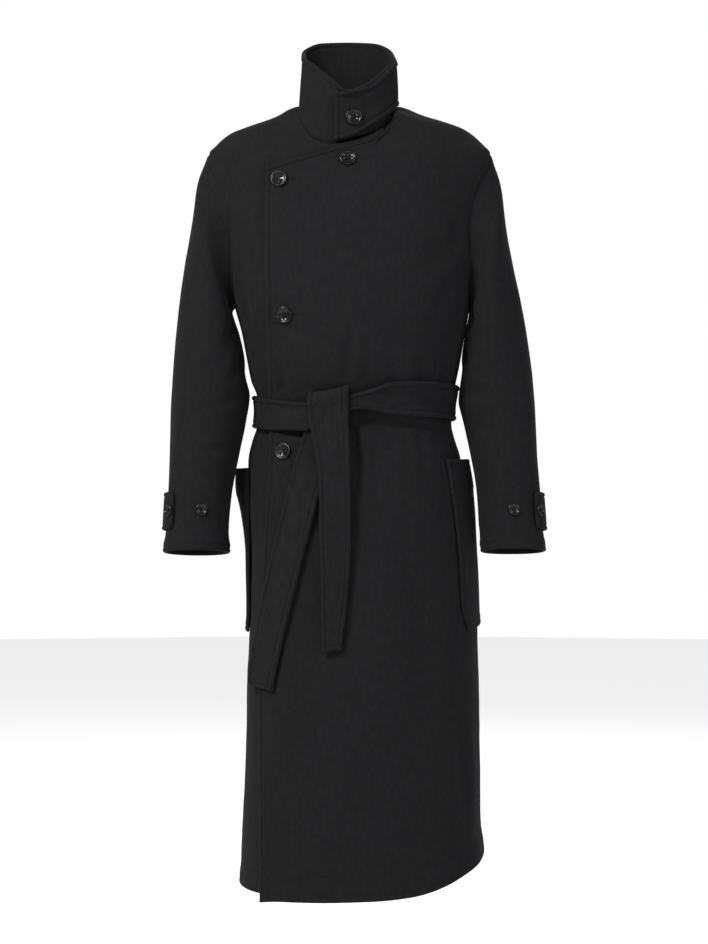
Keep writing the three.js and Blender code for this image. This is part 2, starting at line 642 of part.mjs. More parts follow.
// A sleeve: its first loop is the armhole seam, three loops turn over to the tube, then the tube.
function sleeveSheets(loops, side) {
  const heights = armhole.map(({ height }) => height);
  const bodyTurn = (height, way) => {
    const opening = way * armholeTurn(height);
    return side > 0 ? opening : Math.PI - opening;
  };
  const seam = [
    ...heights.map((height) => ({ height, turn: bodyTurn(height, 1) })),
    ...heights.slice(1, -1).reverse().map((height) => ({ height, turn: bodyTurn(height, -1) })),
  ];
  const count = seam.length;
  const loopTurn = (n) => (2 * Math.PI * n) / count;
  const middleAt = (n, out = clothThickness / 2) =>
    offBody(seam[(n + count) % count].turn, seam[(n + count) % count].height, out);
  const tube = loops.map((loop) =>
    seam.map((_, n) => onLoop(loop, loopTurn(n), side, sleeveClear)),
  );
  const turning = sleeveStart.map((share) =>
    seam.map((mark, n) => {
      const from = middleAt(n);
      const to = tube[0][n];
      const along = middleAt(n + 1).sub(middleAt(n - 1)).normalize();
      const leave = along.cross(bodyNormal(mark.turn, mark.height)).normalize();
      const between = mark.height < shoulderPoint && mark.height > underarm;
      if (leave.x * side < 0 && between) leave.negate();
      if (mark.height === underarm) leave.set(0, 0, 1);
      if (mark.height === shoulderPoint) leave.set(side * 0.82, 0, -0.57);
      const reach = Math.max(34, from.distanceTo(to) * 0.9);
      const arrive = tube[1][n].clone().sub(to).normalize().multiplyScalar(reach);
      const a = share * share * (3 - 2 * share);
      return from
        .clone()
        .multiplyScalar(1 - a)
        .addScaledVector(to, a)
        .addScaledVector(leave, reach * share * (1 - share) ** 2)
        .addScaledVector(arrive, -(share ** 2) * (1 - share));
    }),
  );
  const rows = [seam.map((_, n) => middleAt(n)), ...turning, ...tube];
  const sheet = (out) =>
    rows.map((row, r) =>
      row.map((point, n) => {
        if (r === 0) return middleAt(n, out + clothThickness / 2);
        const before = row[(n + count - 1) % count];
        const after = row[(n + 1) % count];
        const above = rows[r - 1][n];
        const below = (rows[r + 1] || row)[n];
        const normal = after.clone().sub(before).cross(below.clone().sub(above)).normalize();
        return point.clone().addScaledVector(normal, side * out);
      }),
    );
  const sheets = { outer: sheet(clothThickness / 2), inner: sheet(-clothThickness / 2) };
  for (const points of Object.values(sheets)) trimEdge(points, "top", seamGap * 3);
  return sheets;
}
const sleeves = {
  sleeve_left: { loops: leftSleeve, side: 1 },
  sleeve_right: { loops: rightSleeve, side: -1 },
};
for (const [name, { loops, side }] of Object.entries(sleeves)) {
  const { outer, inner } = sleeveSheets(loops, side);
  made[name] = addPiece(name, wallBetween(outer, inner, true));
}

// Collar: one band, its left end lapped over its right end
function collarPoint(turn, share, out) {
  const at = (column, place = turn) => read(collarRing, column, place, "turn");
  const around = (x, y) => {
    const [before, after] = [turn - 0.03, turn + 0.03];
    const step = [x, y].map((column) => at(column, after) - at(column, before));
    return new THREE.Vector3(...step, 0).normalize();
  };
  const along = around("footX", "footY").lerp(around("rimX", "rimY"), share).normalize();
  const away = new THREE.Vector3(along.y, -along.x, 0);
  const lap = lapLift * smooth((turn - 4.2) / 0.75);
  const point = new THREE.Vector3(
    mix(at("footX"), at("rimX"), share),
    mix(at("footY"), at("rimY"), share),
    mix(at("foot"), at("rim"), share),
  );
  const near =
    Math.exp(-(((point.x - collarPinch.x) / collarPinch.wide) ** 2)) *
    Math.exp(-(((point.z - collarPinch.height) / collarPinch.tall) ** 2)) *
    (point.y < 0 ? 1 : 0);
  return point.addScaledVector(away, -(out + lap - near * collarPinch.sink));
}
const collarTurns = Array.from({ length: collarColumns }, (_, n) =>
  mix(collarFrom, collarTo, n / (collarColumns - 1)),
);
const collarSheet = (out) =>
  collarRows.map((share) => collarTurns.map((turn) => collarPoint(turn, share, out)));
made.collar = addPiece("collar", wallBetween(collarSheet(0), collarSheet(-collarThickness)));

// Belt loop, lying on the coat's outer face and lifted by the knot
const coatFace = (turn) => {
  const edge = frontEdgeTurn(-490);
  const past = 1 - smooth((turn - edge - 0.02) / 0.3);
  return clothThickness + (turn < Math.PI ? wrapLiftAt(turn) * past : 0);
};
const knotLift = (turn) => {
  const { turn: knotTurn, lift, full, end } = beltKnot;
  return lift * smooth((end - Math.abs(turn - knotTurn)) / (end - full));
};
const beltTurns = [
  ...overLines(-490),
  ...underLines(-490).slice(0, rightShares.length - 1).reverse(),
  ...backLines().slice(1, -1),
];
const beltSheet = (out) =>
  bandRows.map(({ share, thick }) =>
    beltTurns.map((turn) => {
      const [middle, half] = ["middle", "half"].map((key) => read(beltRing, key, turn, "turn"));
      const foot = coatFace(turn) + lyingGap + knotLift(turn);
      return offBody(turn, middle + share * half, foot + out * thick);
    }),
  );
made.belt_loop = addPiece("belt_loop", wallBetween(beltSheet(beltThickness), beltSheet(0), true));

// A hanging strip of belt: level rows across, following the coat or straight from edge to edge
function stripSheets(rows, thickness) {
  const place = (x, height, out) => offBody(turnAt(x, height), height, out);
  const middles = rows.map(({ x, height, out }) => place(x, height, out));
  const across = rows.map(({ x, height, tilt }) => {
    const turn = turnAt(x, height);
    const way = onBody(turn - 0.02, height).sub(onBody(turn + 0.02, height)).normalize();
    return way.add(new THREE.Vector3(0, 0, tilt));
  });
  const lines = rows.map((row, n) =>
    bandRows.map(({ share }) => {
      const reach = share * row.half;
      const level = row.height + reach * row.tilt;
      const straight = middles[n].clone().addScaledVector(across[n], reach);
      return straight.lerp(place(row.x + reach, level, row.out), row.follow);
    }),
  );
  const last = rows.length - 1;
  const sheet = (out) =>
    lines.map((line, n) =>
      line.map((point, k) => {
        const along = lines[Math.min(n + 1, last)][k].clone().sub(lines[Math.max(n - 1, 0)][k]);
        const beside = line[Math.max(k - 1, 0)].clone().sub(line[Math.min(k + 1, 4)]);
        const away = along.cross(beside).normalize();
        return point.clone().addScaledVector(away, out * bandRows[k].thick * thickness);
      }),
    );
  return [sheet(0.5), sheet(-0.5)];
}
for (const [name, rows] of Object.entries({ belt_knot_tail: knotTail, belt_under_tail: underTail })) {
  made[name] = addPiece(name, wallBetween(...stripSheets(rows, beltThickness)));
}

// Patch pockets over the side seams, standing off the coat at the mouth
function pocketSheets(turns, { top, bottom, rise, stand }) {
  const count = turns.length - 1;
  const sheet = (out) =>
    pocketRows.map((share) =>
      turns.map((_, n) => {
        const round = 1 - 0.1 * smooth((share - 0.86) / 0.14);
        const place = count / 2 + (n - count / 2) * round;
        const step = Math.min(count - 1, Math.floor(place));
        const turn = mix(turns[step], turns[step + 1], place - step);
        const height = mix(top, bottom + (rise * n) / count, share);
        const bulge = Math.sin((Math.PI * n) / count) ** 0.7;
        const off = read(stand, "out", share, "share") * bulge;
        return offBody(turn, height, clothThickness + lyingGap + 0.2 + off + out);
      }),
    );
  return [sheet(pocketThickness), sheet(0)];
}
const leftTurns = [0.6325, 0.368, 0.1495, 0, -0.15, -0.35, -0.58, -0.8];
const rightTurns = [2.87, 3.006, ...backTurns.slice(0, 7).map((turn) => Math.PI + turn)];
made.pocket_left = addPiece("pocket_left", wallBetween(...pocketSheets(leftTurns, leftPocket)));
made.pocket_right = addPiece("pocket_right", wallBetween(...pocketSheets(rightTurns, rightPocket)));

// Cuff straps, lying round the outer side of each sleeve
function strapPoint(loops, side, turn, height, out) {
  const loop = Object.fromEntries(
    Object.keys(loops[0]).map((key) => [key, read(loops, key, height, "outerHeight")]),
  );
  loop.outerHeight = height;
  loop.innerHeight = height;
  const before = onLoop(loop, turn - 0.03, side, 0);
  const after = onLoop(loop, turn + 0.03, side, 0);
  const along = after.sub(before).normalize();
  const away = new THREE.Vector3(-along.y, along.x, 0).multiplyScalar(side);
  return onLoop(loop, turn, side, 0).addScaledVector(away, out);
}
function strapSheets(loops, side) {
  const middle = (strapTop + strapBottom) / 2;
  const half = (strapTop - strapBottom) / 2;
  const foot = clothThickness / 2 + 0.95;
  const sheet = (out) =>
    bandRows.map(({ share, thick }) => {
      const height = middle + share * half;
      return strapTurns.map((turn) => strapPoint(loops, side, turn, height, foot + out * thick));
    });
  return [sheet(strapThickness), sheet(0)];
}
made.strap_left = addPiece("strap_left", wallBetween(...strapSheets(leftSleeve, 1)));
made.strap_right = addPiece("strap_right", wallBetween(...strapSheets(rightSleeve, -1)));

// Buttons: a turned disc with a raised rim
function buttonSolid({ radius, thickness }) {
  const profile = [
    [radius - 1, 0],
    [radius, 1],
    [radius, thickness - 1],
    [radius - 1.2, thickness],
    [radius - 3, thickness],
    [radius - 4.2, thickness - 1.3],
  ];
  const points = [new THREE.Vector3(0, 0, 0)];
  for (const [r, height] of profile) {
    for (let n = 0; n < buttonSides; n++) {
      const angle = (2 * Math.PI * n) / buttonSides;
      points.push(new THREE.Vector3(r * Math.cos(angle), r * Math.sin(angle), height));
    }
  }
  points.push(new THREE.Vector3(0, 0, thickness - 1.3));
  const last = points.length - 1;
  const face = [];
  for (let n = 0; n < buttonSides; n++) {
    const next = (n + 1) % buttonSides;
    face.push(0, 1 + next, 1 + n);
    for (let ring = 0; ring < profile.length - 1; ring++) {
      const at = 1 + ring * buttonSides;
      const above = at + buttonSides;
      face.push(at + n, at + next, above + next, at + n, above + next, above + n);
    }
    const top = last - buttonSides;
    face.push(last, top + n, top + next);
  }
  return closedSolid(points, face);
}

// Sews a button where lines of sight meet a piece; it rests on the highest place under its rim.
function sewButton(name, size, piece, from, towards) {
  const start = new THREE.Vector3(...from);
  const way = new THREE.Vector3(...towards).sub(start).normalize();
  const side = new THREE.Vector3(0, 0, 1).cross(way).normalize();
  const up = way.clone().cross(side);
  const caster = new THREE.Raycaster();
  const meet = (angle, reach) => {
    const at = start.clone().addScaledVector(side, reach * Math.cos(angle));
    caster.set(at.addScaledVector(up, reach * Math.sin(angle)), way);
    return caster.intersectObject(piece)[0];
  };
  const ring = Array.from({ length: 16 }, (_, n) =>
    meet((n * Math.PI) / 4, size.radius * (n < 8 ? 1 : 0.55)),
  );
  const hits = ring.filter((hit) => hit !== undefined);
  const middle = meet(0, 0);
  const normal = middle.face.normal.clone();
  for (const hit of hits) normal.add(hit.face.normal);
  normal.normalize();
  const rise = Math.max(0, ...hits.map((hit) => hit.point.clone().sub(middle.point).dot(normal)));
  const geometry = buttonSolid(size);
  const stand = new THREE.Vector3(0, 0, 1);
  geometry.applyQuaternion(new THREE.Quaternion().setFromUnitVectors(stand, normal));
  const seat = middle.point.addScaledVector(normal, rise + 0.3);
  geometry.translate(seat.x, seat.y, seat.z);
  made[name] = addPiece(name, geometry, horn);
}
const frontButtons = [
  { name: "button_front_1", on: "front_over", x: -107, height: -123 },
  { name: "button_front_2", on: "front_over", x: -98, height: -337 },
  { name: "button_front_3", on: "front_over", x: -100, height: -547 },
  { name: "button_throat", on: "front_over", x: 0, height: -90 },
  { name: "button_collar", on: "collar", x: 9, height: -23 },
];
for (const { name, on, x, height } of frontButtons) {
  sewButton(name, frontButton, made[on], [x, -400, height], [x, 0, height]);
}
for (const [hand, side, loops] of [["left", 1, leftSleeve], ["right", -1, rightSleeve]]) {
  const height = (strapTop + strapBottom) / 2;
  const places = [
    { number: 1, on: `sleeve_${hand}`, turn: side > 0 ? 1.52 : 1.72 },
    { number: 2, on: `strap_${hand}`, turn: 0.72 },
  ];
  for (const { number, on, turn } of places) {
    const from = strapPoint(loops, side, turn, height, 60).toArray();
    const towards = strapPoint(loops, side, turn, height, 0).toArray();
    sewButton(`button_cuff_${hand}_${number}`, cuffButton, made[on], from, towards);
  }
}

export default coat;
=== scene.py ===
import math

import bpy
import numpy as np
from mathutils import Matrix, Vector
from mathutils.bvhtree import BVHTree


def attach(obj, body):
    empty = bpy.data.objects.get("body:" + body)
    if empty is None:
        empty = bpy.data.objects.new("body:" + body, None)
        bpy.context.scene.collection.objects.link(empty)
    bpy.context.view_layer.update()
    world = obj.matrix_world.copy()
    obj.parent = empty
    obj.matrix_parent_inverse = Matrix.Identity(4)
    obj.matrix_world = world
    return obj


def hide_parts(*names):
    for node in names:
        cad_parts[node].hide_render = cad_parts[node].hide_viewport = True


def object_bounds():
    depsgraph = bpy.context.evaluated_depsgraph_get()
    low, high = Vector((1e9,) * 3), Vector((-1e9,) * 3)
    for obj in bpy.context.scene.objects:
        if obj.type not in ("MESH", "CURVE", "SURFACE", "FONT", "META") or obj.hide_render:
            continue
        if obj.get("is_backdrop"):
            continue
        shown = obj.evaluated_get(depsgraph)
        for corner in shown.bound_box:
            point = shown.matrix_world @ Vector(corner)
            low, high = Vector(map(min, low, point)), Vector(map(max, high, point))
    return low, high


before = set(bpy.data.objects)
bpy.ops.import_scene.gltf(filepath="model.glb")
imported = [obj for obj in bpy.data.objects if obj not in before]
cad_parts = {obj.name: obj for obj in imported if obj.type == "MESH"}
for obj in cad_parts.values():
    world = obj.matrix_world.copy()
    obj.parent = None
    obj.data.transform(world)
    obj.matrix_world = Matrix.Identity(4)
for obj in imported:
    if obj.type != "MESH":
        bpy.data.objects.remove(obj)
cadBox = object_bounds()
mm = 0.001
print("frame loaded")


# number helpers: all lengths below are millimetres until a mesh is made
def tableOf(columns, rows):
    return {name: np.array([row[n] for row in rows], float) for n, name in enumerate(columns.split())}


def rowsOf(columns, rows):
    # one dictionary a row; a row may leave out its last columns
    return [dict(zip(columns.split(), row)) for row in rows]


def readTable(table, column, at, key="height"):
    # a smooth curve through a table's rows that never overshoots them
    keys, values = table[key], table[column]
    if keys[0] > keys[-1]:
        keys, values = keys[::-1], values[::-1]
    at = np.asarray(at, float)
    slopes = np.diff(values) / np.diff(keys)
    before, after = slopes[:-1], slopes[1:]
    same = before * after > 0
    inner = np.where(same, 2 * before * after / np.where(same, before + after, 1), 0)
    tangents = np.concatenate([slopes[:1], inner, slopes[-1:]])
    row = np.clip(np.searchsorted(keys, at) - 1, 0, len(keys) - 2)
    span = keys[row + 1] - keys[row]
    t = np.clip((at - keys[row]) / span, 0, 1)
    bend = span * t * (1 - t) * (tangents[row] * (1 - t) - tangents[row + 1] * t)
    return values[row] + (values[row + 1] - values[row]) * t * t * (3 - 2 * t) + bend


def smooth(share):
    t = np.clip(share, 0, 1)
    return t * t * (3 - 2 * t)


def mix(a, b, share):
    return a + (b - a) * share


def bump(x, middle, width):
    return np.exp(-(((x - middle) / width) ** 2))


def unit(v):
    return v / np.maximum(np.linalg.norm(v, axis=-1, keepdims=True), 1e-9)


def signedPower(value, power):
    return np.sign(value) * np.abs(value) ** power


def runLength(points, axis=0):
    # length walked along rows or columns of points, from their start
    steps = np.linalg.norm(np.diff(points, axis=axis), axis=-1)
    start = np.zeros_like(np.take(steps, [0], axis=axis))
    return np.concatenate([start, np.cumsum(steps, axis=axis)], axis=axis)


def nearestTo(values, target):
    return int(np.argmin(np.abs(values - target)))


def evenOut(points, shares):
    # the same line with its points at the given shares of its length
    walked = runLength(points)
    walked = walked / walked[-1]
    return np.stack([np.interp(shares, walked, points[:, k]) for k in range(points.shape[1])], axis=-1)


edgeSteps = [0, 0.5, 1.2, 2.1, 3.2, 4.6, 6.0, 7.2, 8.0, 8.6, 9.0, 9.4, 10.0, 10.9, 12.4, 14.6]
seamSteps = [0, 0.8, 1.8, 3.2, 5.2, 8]


def sharesOf(length, firstSteps, lastSteps, step):
    first = np.array(firstSteps, float)
    last = length - np.array(lastSteps, float)[::-1]
    count = max(2, int(round((last[0] - first[-1]) / step)))
    between = np.linspace(first[-1], last[0], count + 1)[1:-1]
    return np.concatenate([first, between, last]) / length


# the coat's form: half widths and depths of its level sections, inner face of the cloth
bodyForm = tableOf("height middle half front back square", [
    [30, 1, 78, 20, 71, 2.2], [20, 1, 78, 24, 77, 2.2], [12, 1, 78, 28, 81, 2.2],
    [5, 1, 78, 34, 85, 2.2], [-3, 2, 97, 40, 89, 2.2], [-13, 5, 117, 47, 93, 2.2],
    [-22, 8, 143, 53, 97, 2.2], [-32, 8, 171, 59, 101, 2.2], [-41, 5, 190, 63, 104, 2.2],
    [-51, 4, 203, 68, 107, 2.2], [-61, 4, 213, 74, 110, 2.2], [-72, 3, 223, 80, 113, 2.25],
    [-88, 2, 226, 88, 117, 2.3], [-108, 2, 224, 96, 121, 2.35], [-132, 3, 219, 103, 125, 2.4],
    [-165, 3, 211, 112, 129, 2.4], [-200, 3, 204, 121, 132, 2.4], [-240, 4, 198, 129, 134, 2.45],
    [-280, 5, 191, 136, 135, 2.5], [-320, 7, 183, 141, 134, 2.5], [-360, 9, 174, 143, 131, 2.45],
    [-400, 9, 167, 141, 126, 2.4], [-432, 9, 161, 134, 119, 2.35], [-456, 11, 154, 125, 112, 2.3],
    [-480, 11, 151, 119, 107, 2.3], [-505, 10, 152, 119, 107, 2.3], [-530, 9, 159, 125, 113, 2.3],
    [-556, 10, 166, 131, 120, 2.3], [-600, 14, 170, 138, 128, 2.3], [-650, 18, 174, 145, 135, 2.3],
    [-730, 22, 177, 152, 143, 2.35], [-830, 24, 179, 158, 150, 2.35], [-930, 24, 182, 163, 156, 2.35],
    [-1030, 23, 184, 168, 160, 2.35], [-1130, 22, 187, 172, 164, 2.35], [-1250, 24, 191, 176, 168, 2.35],
])
broadFolds = rowsOf("turn spread top bottom rise full", [
    [1.52, 0.16, -322, -455, 3, -405],
    [2.5, 0.14, -360, -462, -3, -430],
    [0.75, 0.2, -330, -460, 3, -420],
    [1.42, 0.12, -522, -660, -4, -560],
    [0.55, 0.22, -840, -1500, 4, -1240],
    [1.25, 0.2, -700, -1500, -3, -1240],
    [3.62, 0.2, -600, -1500, 5, -1200],
    [4.1, 0.18, -540, -1500, -6, -1200],
    [4.65, 0.22, -560, -1500, 5, -1200],
    [5.2, 0.18, -540, -1500, -6, -1200],
    [5.7, 0.2, -600, -1500, 5, -1200],
    [4.3, 0.14, -330, -470, 4, -425],
    [5.1, 0.14, -330, -470, 4, -425],
])


def foldRise(turn, height):
    rise = 0
    for fold in broadFolds:
        away = np.abs((turn - fold["turn"] + 3 * math.pi) % (2 * math.pi) - math.pi)
        above = smooth((fold["top"] - height) / (fold["top"] - fold["full"]))
        below = smooth((height - fold["bottom"]) / (fold["full"] - fold["bottom"]))
        along = np.where(height > fold["full"], above, below)
        rise = rise + fold["rise"] * np.exp(-((away / fold["spread"]) ** 2)) * along
    return rise


def formPoint(turn, height):
    turn, height = np.broadcast_arrays(np.asarray(turn, float), np.asarray(height, float))
    power = 2 / readTable(bodyForm, "square", height)
    across, forward = np.cos(turn), np.sin(turn)
    front, back = readTable(bodyForm, "front", height), readTable(bodyForm, "back", height)
    rise = foldRise(turn, height)
    halfWidth = readTable(bodyForm, "half", height) + rise
    x = readTable(bodyForm, "middle", height) + halfWidth * signedPower(across, power)
    y = -(np.where(forward > 0, front, back) + rise) * signedPower(forward, power)
    return np.stack([x, y, height], axis=-1)


def formNormal(turn, height):
    around = formPoint(turn + 0.02, height) - formPoint(turn - 0.02, height)
    up = formPoint(turn, height + 2) - formPoint(turn, height - 2)
    return unit(np.cross(up, around))


def offForm(turn, height, out):
    out = np.asarray(out, float)[..., None] if np.ndim(out) else out
    return formPoint(turn, height) + formNormal(turn, height) * out


def turnAt(x, height):
    share = (x - readTable(bodyForm, "middle", height)) / readTable(bodyForm, "half", height)
    return np.arccos(signedPower(np.clip(share, -1, 1), readTable(bodyForm, "square", height) / 2))


# pattern marks: where each panel starts and ends
frontEdge = tableOf("height x", [
    [-106, -127], [-200, -127], [-300, -123], [-375, -120], [-450, -118],
    [-540, -117], [-700, -124], [-942, -131], [-1250, -129],
])
armhole = tableOf("height half", [
    [-72, 223], [-88, 220], [-108, 211.5], [-132, 200], [-160, 190], [-192, 185.5],
    [-228, 184.5], [-264, 184], [-296, 183.2], [-312, 183], [-320, 183],
])
neckOver = tableOf("x height", [
    [79, 5], [75, -12], [69, -30], [60, -52], [28, -66], [-5, -75], [-45, -85], [-86, -95], [-127, -106],
])
neckUnder = tableOf("x height", [
    [-77, 5], [-76, -13], [-69, -36], [-55, -56], [-28, -65], [5, -60], [33, -51], [56, -38],
])
neckBack = tableOf("x height", [
    [-77, 5], [-70, 16], [-50, 22], [-26, 26], [0, 28], [26, 26], [50, 22], [70, 16], [79, 5],
])
overHem = tableOf("turn height", [
    [0, -1177], [0.5, -1192], [0.9, -1212], [1.25, -1226], [1.7, -1232], [2.2, -1236], [2.6, -1246],
])
underHem = tableOf("turn height", [[1.1, -1222], [2.2, -1229], [3.2, -1230]])
backHem = tableOf("turn height", [[3.1, -1230], [3.9, -1224], [4.7, -1210], [5.6, -1192], [6.3, -1177]])
pattern = dict(shoulder=-72, underarm=-320, hidden=1.15, wrapLift=4.6)


def frontEdgeTurn(height):
    return turnAt(readTable(frontEdge, "x", height), height)


def armholeTurn(height):
    share = np.clip(readTable(armhole, "half", height) / readTable(bodyForm, "half", height), 0, 1)
    return np.arccos(share ** (readTable(bodyForm, "square", height) / 2))


def wrapLiftAt(turn):
    return pattern["wrapLift"] * smooth((turn - (pattern["hidden"] - 0.5)) / 0.45)


def panelGrid(top, sideFirst, sideLast, levelTurns, hem, columns, rows):
    # top: line of turn and height; sides: turn at a height; columns and rows: shares of the width and length
    underarm = pattern["underarm"]

    def byLength(line, shares):
        walked = runLength(formPoint(line[:, 0], line[:, 1]))
        walked = walked / walked[-1]
        return np.stack([np.interp(shares, walked, line[:, k]) for k in (0, 1)], axis=-1)

    upperCount = int(np.searchsorted(rows, upperShareOf(top, hem)))
    upper = rows[: upperCount + 1] / rows[upperCount]
    low = np.stack([levelTurns(underarm, np.linspace(0, 1, 400)), np.full(400, underarm, float)], axis=-1)
    topLine, lowLine = byLength(top, columns), byLength(low, columns)
    firstHeights = np.linspace(top[0, 1], underarm, 300)
    lastHeights = np.linspace(top[-1, 1], underarm, 300)
    first = byLength(np.stack([sideFirst(firstHeights), firstHeights], axis=-1), upper)
    last = byLength(np.stack([sideLast(lastHeights), lastHeights], axis=-1), upper)
    u, v = columns[None, :, None], upper[:, None, None]
    corners = mix(mix(topLine[0], topLine[-1], u), mix(lowLine[0], lowLine[-1], u), v)
    patch = mix(topLine[None], lowLine[None], v) + mix(first[:, None], last[:, None], u) - corners
    lower = (rows[upperCount + 1 :] - rows[upperCount]) / (rows[-1] - rows[upperCount])
    levels = np.arange(underarm, hemPlan["lowest"], -hemPlan["levelPitch"])
    lines = np.array([
        byLength(np.stack([levelTurns(z, np.linspace(0, 1, 300)), np.full(300, z)], axis=-1), columns)[:, 0]
        for z in levels
    ])
    hemHeight = readTable(hem, "height", lines[-3], "turn") - hemPlan["drop"]
    heights = underarm + lower[:, None] * (hemHeight[None] - underarm)
    turns = np.stack([np.interp(-heights[:, c], -levels, lines[:, c]) for c in range(len(columns))], axis=1)
    skirt = np.stack([turns, heights], axis=-1)
    grid = np.concatenate([patch, skirt])
    return grid[..., 0], grid[..., 1]


def upperShareOf(top, hem):
    # the share of a panel's length that lies above the underarm
    meanTop = top[:, 1].mean()
    return (meanTop - pattern["underarm"]) / (meanTop - hem["height"].mean())


# creases: soft troughs and ridges, each with its own length, width and depth;
# rise below 0 is a trough, start and end are the shares over which a crease fades
creaseColumns = "marks width rise start end bank"
usualBank = 0.35


def creaseField(points, creases, place):
    # place turns a crease's marks into points on the same form
    field = np.zeros(points.shape[:-1])
    for crease in creases:
        marks = evenOut(place(np.array(crease["marks"], float)), np.linspace(0, 1, 13))
        for _ in range(6):
            marks[1:-1] += 0.5 * ((marks[2:] + marks[:-2]) / 2 - marks[1:-1])
        spans = np.linalg.norm(np.diff(marks, axis=0), axis=-1)
        total, walked = spans.sum(), 0
        nearest = np.full(field.shape, 1e9)
        along = np.zeros(field.shape)
        for a, b, span in zip(marks[:-1], marks[1:], spans):
            t = np.clip(((points - a) @ (b - a)) / max(span**2, 1e-9), 0, 1)
            away = np.linalg.norm(points - (a + t[..., None] * (b - a)), axis=-1)
            closer = away < nearest
            nearest = np.where(closer, away, nearest)
            along = np.where(closer, (walked + t * span) / total, along)
            walked += span
        fade = smooth(along / crease["start"]) * smooth((1 - along) / crease["end"])
        width = crease["width"]
        trough = np.exp(-((nearest / width) ** 2))
        bank = bump(nearest, 1.9 * width, 0.9 * width)
        field += crease["rise"] * (trough - crease.get("bank", usualBank) * bank) * fade
    return field


def waver(points, size, seed):
    # a slow unevenness of hand-pressed cloth
    pick = np.random.RandomState(seed)
    field = np.zeros(points.shape[:-1])
    for _ in range(9):
        way = pick.normal(size=3)
        way *= (0.55 + 0.9 * pick.rand()) * 2 * math.pi / (size * np.linalg.norm(way))
        field += np.sin(points @ way + pick.rand() * 6.28)
    return field / 9


# meshes
def makePiece(name, points, faces):
    mesh = bpy.data.meshes.new(name)
    mesh.from_pydata((points * mm).tolist(), [], faces)
    mesh.validate()
    mesh.polygons.foreach_set("use_smooth", [True] * len(mesh.polygons))
    mesh.update()
    piece = bpy.data.objects.new(name, mesh)
    bpy.context.collection.objects.link(piece)
    return piece


def clothWall(name, outer, inner, ring=False):
    # closes a wall of cloth between two sheets with the same rows and columns
    rows, columns = outer.shape[:2]
    points = np.concatenate([outer.reshape(-1, 3), inner.reshape(-1, 3)])
    index = np.arange(rows * columns).reshape(rows, columns)
    if ring:
        index = np.concatenate([index, index[:, :1]], axis=1)
    a, b, c, d = index[:-1, :-1], index[1:, :-1], index[1:, 1:], index[:-1, 1:]
    front = np.stack([a, b, c, d], axis=-1).reshape(-1, 4)
    back = front[:, ::-1] + rows * columns
    faces = [front, back]
    rims = [(index[0], False), (index[-1], True)]
    if not ring:
        rims += [(index[:, 0], True), (index[:, -1], False)]
    for line, turned in rims:
        onInner = line + rows * columns
        strip = np.stack([line[:-1], line[1:], onInner[1:], onInner[:-1]], axis=-1)
        faces.append(strip[:, ::-1] if turned else strip)
    faces = np.concatenate(faces)
    corners = points[faces]
    volume = np.einsum("ij,ij->i", corners[:, 0], np.cross(corners[:, 1], corners[:, 2])).sum()
    volume += np.einsum("ij,ij->i", corners[:, 0], np.cross(corners[:, 2], corners[:, 3])).sum()
    if volume < 0:
        faces = faces[:, ::-1]
    return makePiece(name, points, faces.tolist())


def sheetPiece(name, base, normal, outerOut, innerOut, ring=False):
    # a wall of cloth between two distances off a base, and its outer face
    outer, inner = base + normal * outerOut[..., None], base + normal * innerOut[..., None]
    return outer, clothWall(name, outer, inner, ring)


def noseShare(distance, thickness):
    # 1 at the very edge of a rolled edge, 0 from half its thickness on
    near = np.clip(distance / (thickness / 2), 0, 1)
    return 1 - np.sqrt(np.clip(1 - (1 - near) ** 2, 0, 1))


def rolledEdge(distance, roll):
    puff = roll["puff"] * bump(distance, roll["groove"] * 0.47, roll["groove"] * 0.36)
    groove = roll["depth"] * bump(distance, roll["groove"], roll.get("width", 1.5))
    return puff - groove


seamLines, denseLines = [], []  # lines of thread: single stitches, and short stitches side by side


def addStitches(points, outward, lift=0.25):
    # a stitched line lies in the bottom of its groove
    along = unit(np.gradient(points, axis=0))
    seamLines.append(dict(points=points + outward * lift, normals=outward, along=along))


def stitchGrid(outer, normal, rows, columns):
    # one stitched line along a stretch of a row or column
    addStitches(outer[rows, columns], normal[rows, columns])


def addBar(points, outward, lift=0.3):
    along = unit(np.gradient(points, axis=0))
    denseLines.append(dict(points=points + outward * lift, normals=outward, along=np.cross(outward, along)))


def gridNormals(points, ring=False):
    if ring:
        around = np.roll(points, -1, axis=1) - np.roll(points, 1, axis=1)
    else:
        around = np.gradient(points, axis=1)
    down = np.gradient(points, axis=0)
    return unit(np.cross(around, down))


# body panels
clothPlan = dict(cloth=3.0, edge=5.4, step=4.2, rowStep=4.4, creaseDepth=1.5, underSink=3.0)
frontRoll = dict(groove=9.0, depth=1.25, puff=0.9, width=1.4)
hemPlan = dict(turnUp=35.0, fold=0.9, depth=0.8, drop=2.2, lowest=-1262, levelPitch=6.0)
hemRoll = dict(groove=7, depth=0.25, puff=0.5, width=2)
seamDip = dict(depth=1.5, width=3.4)

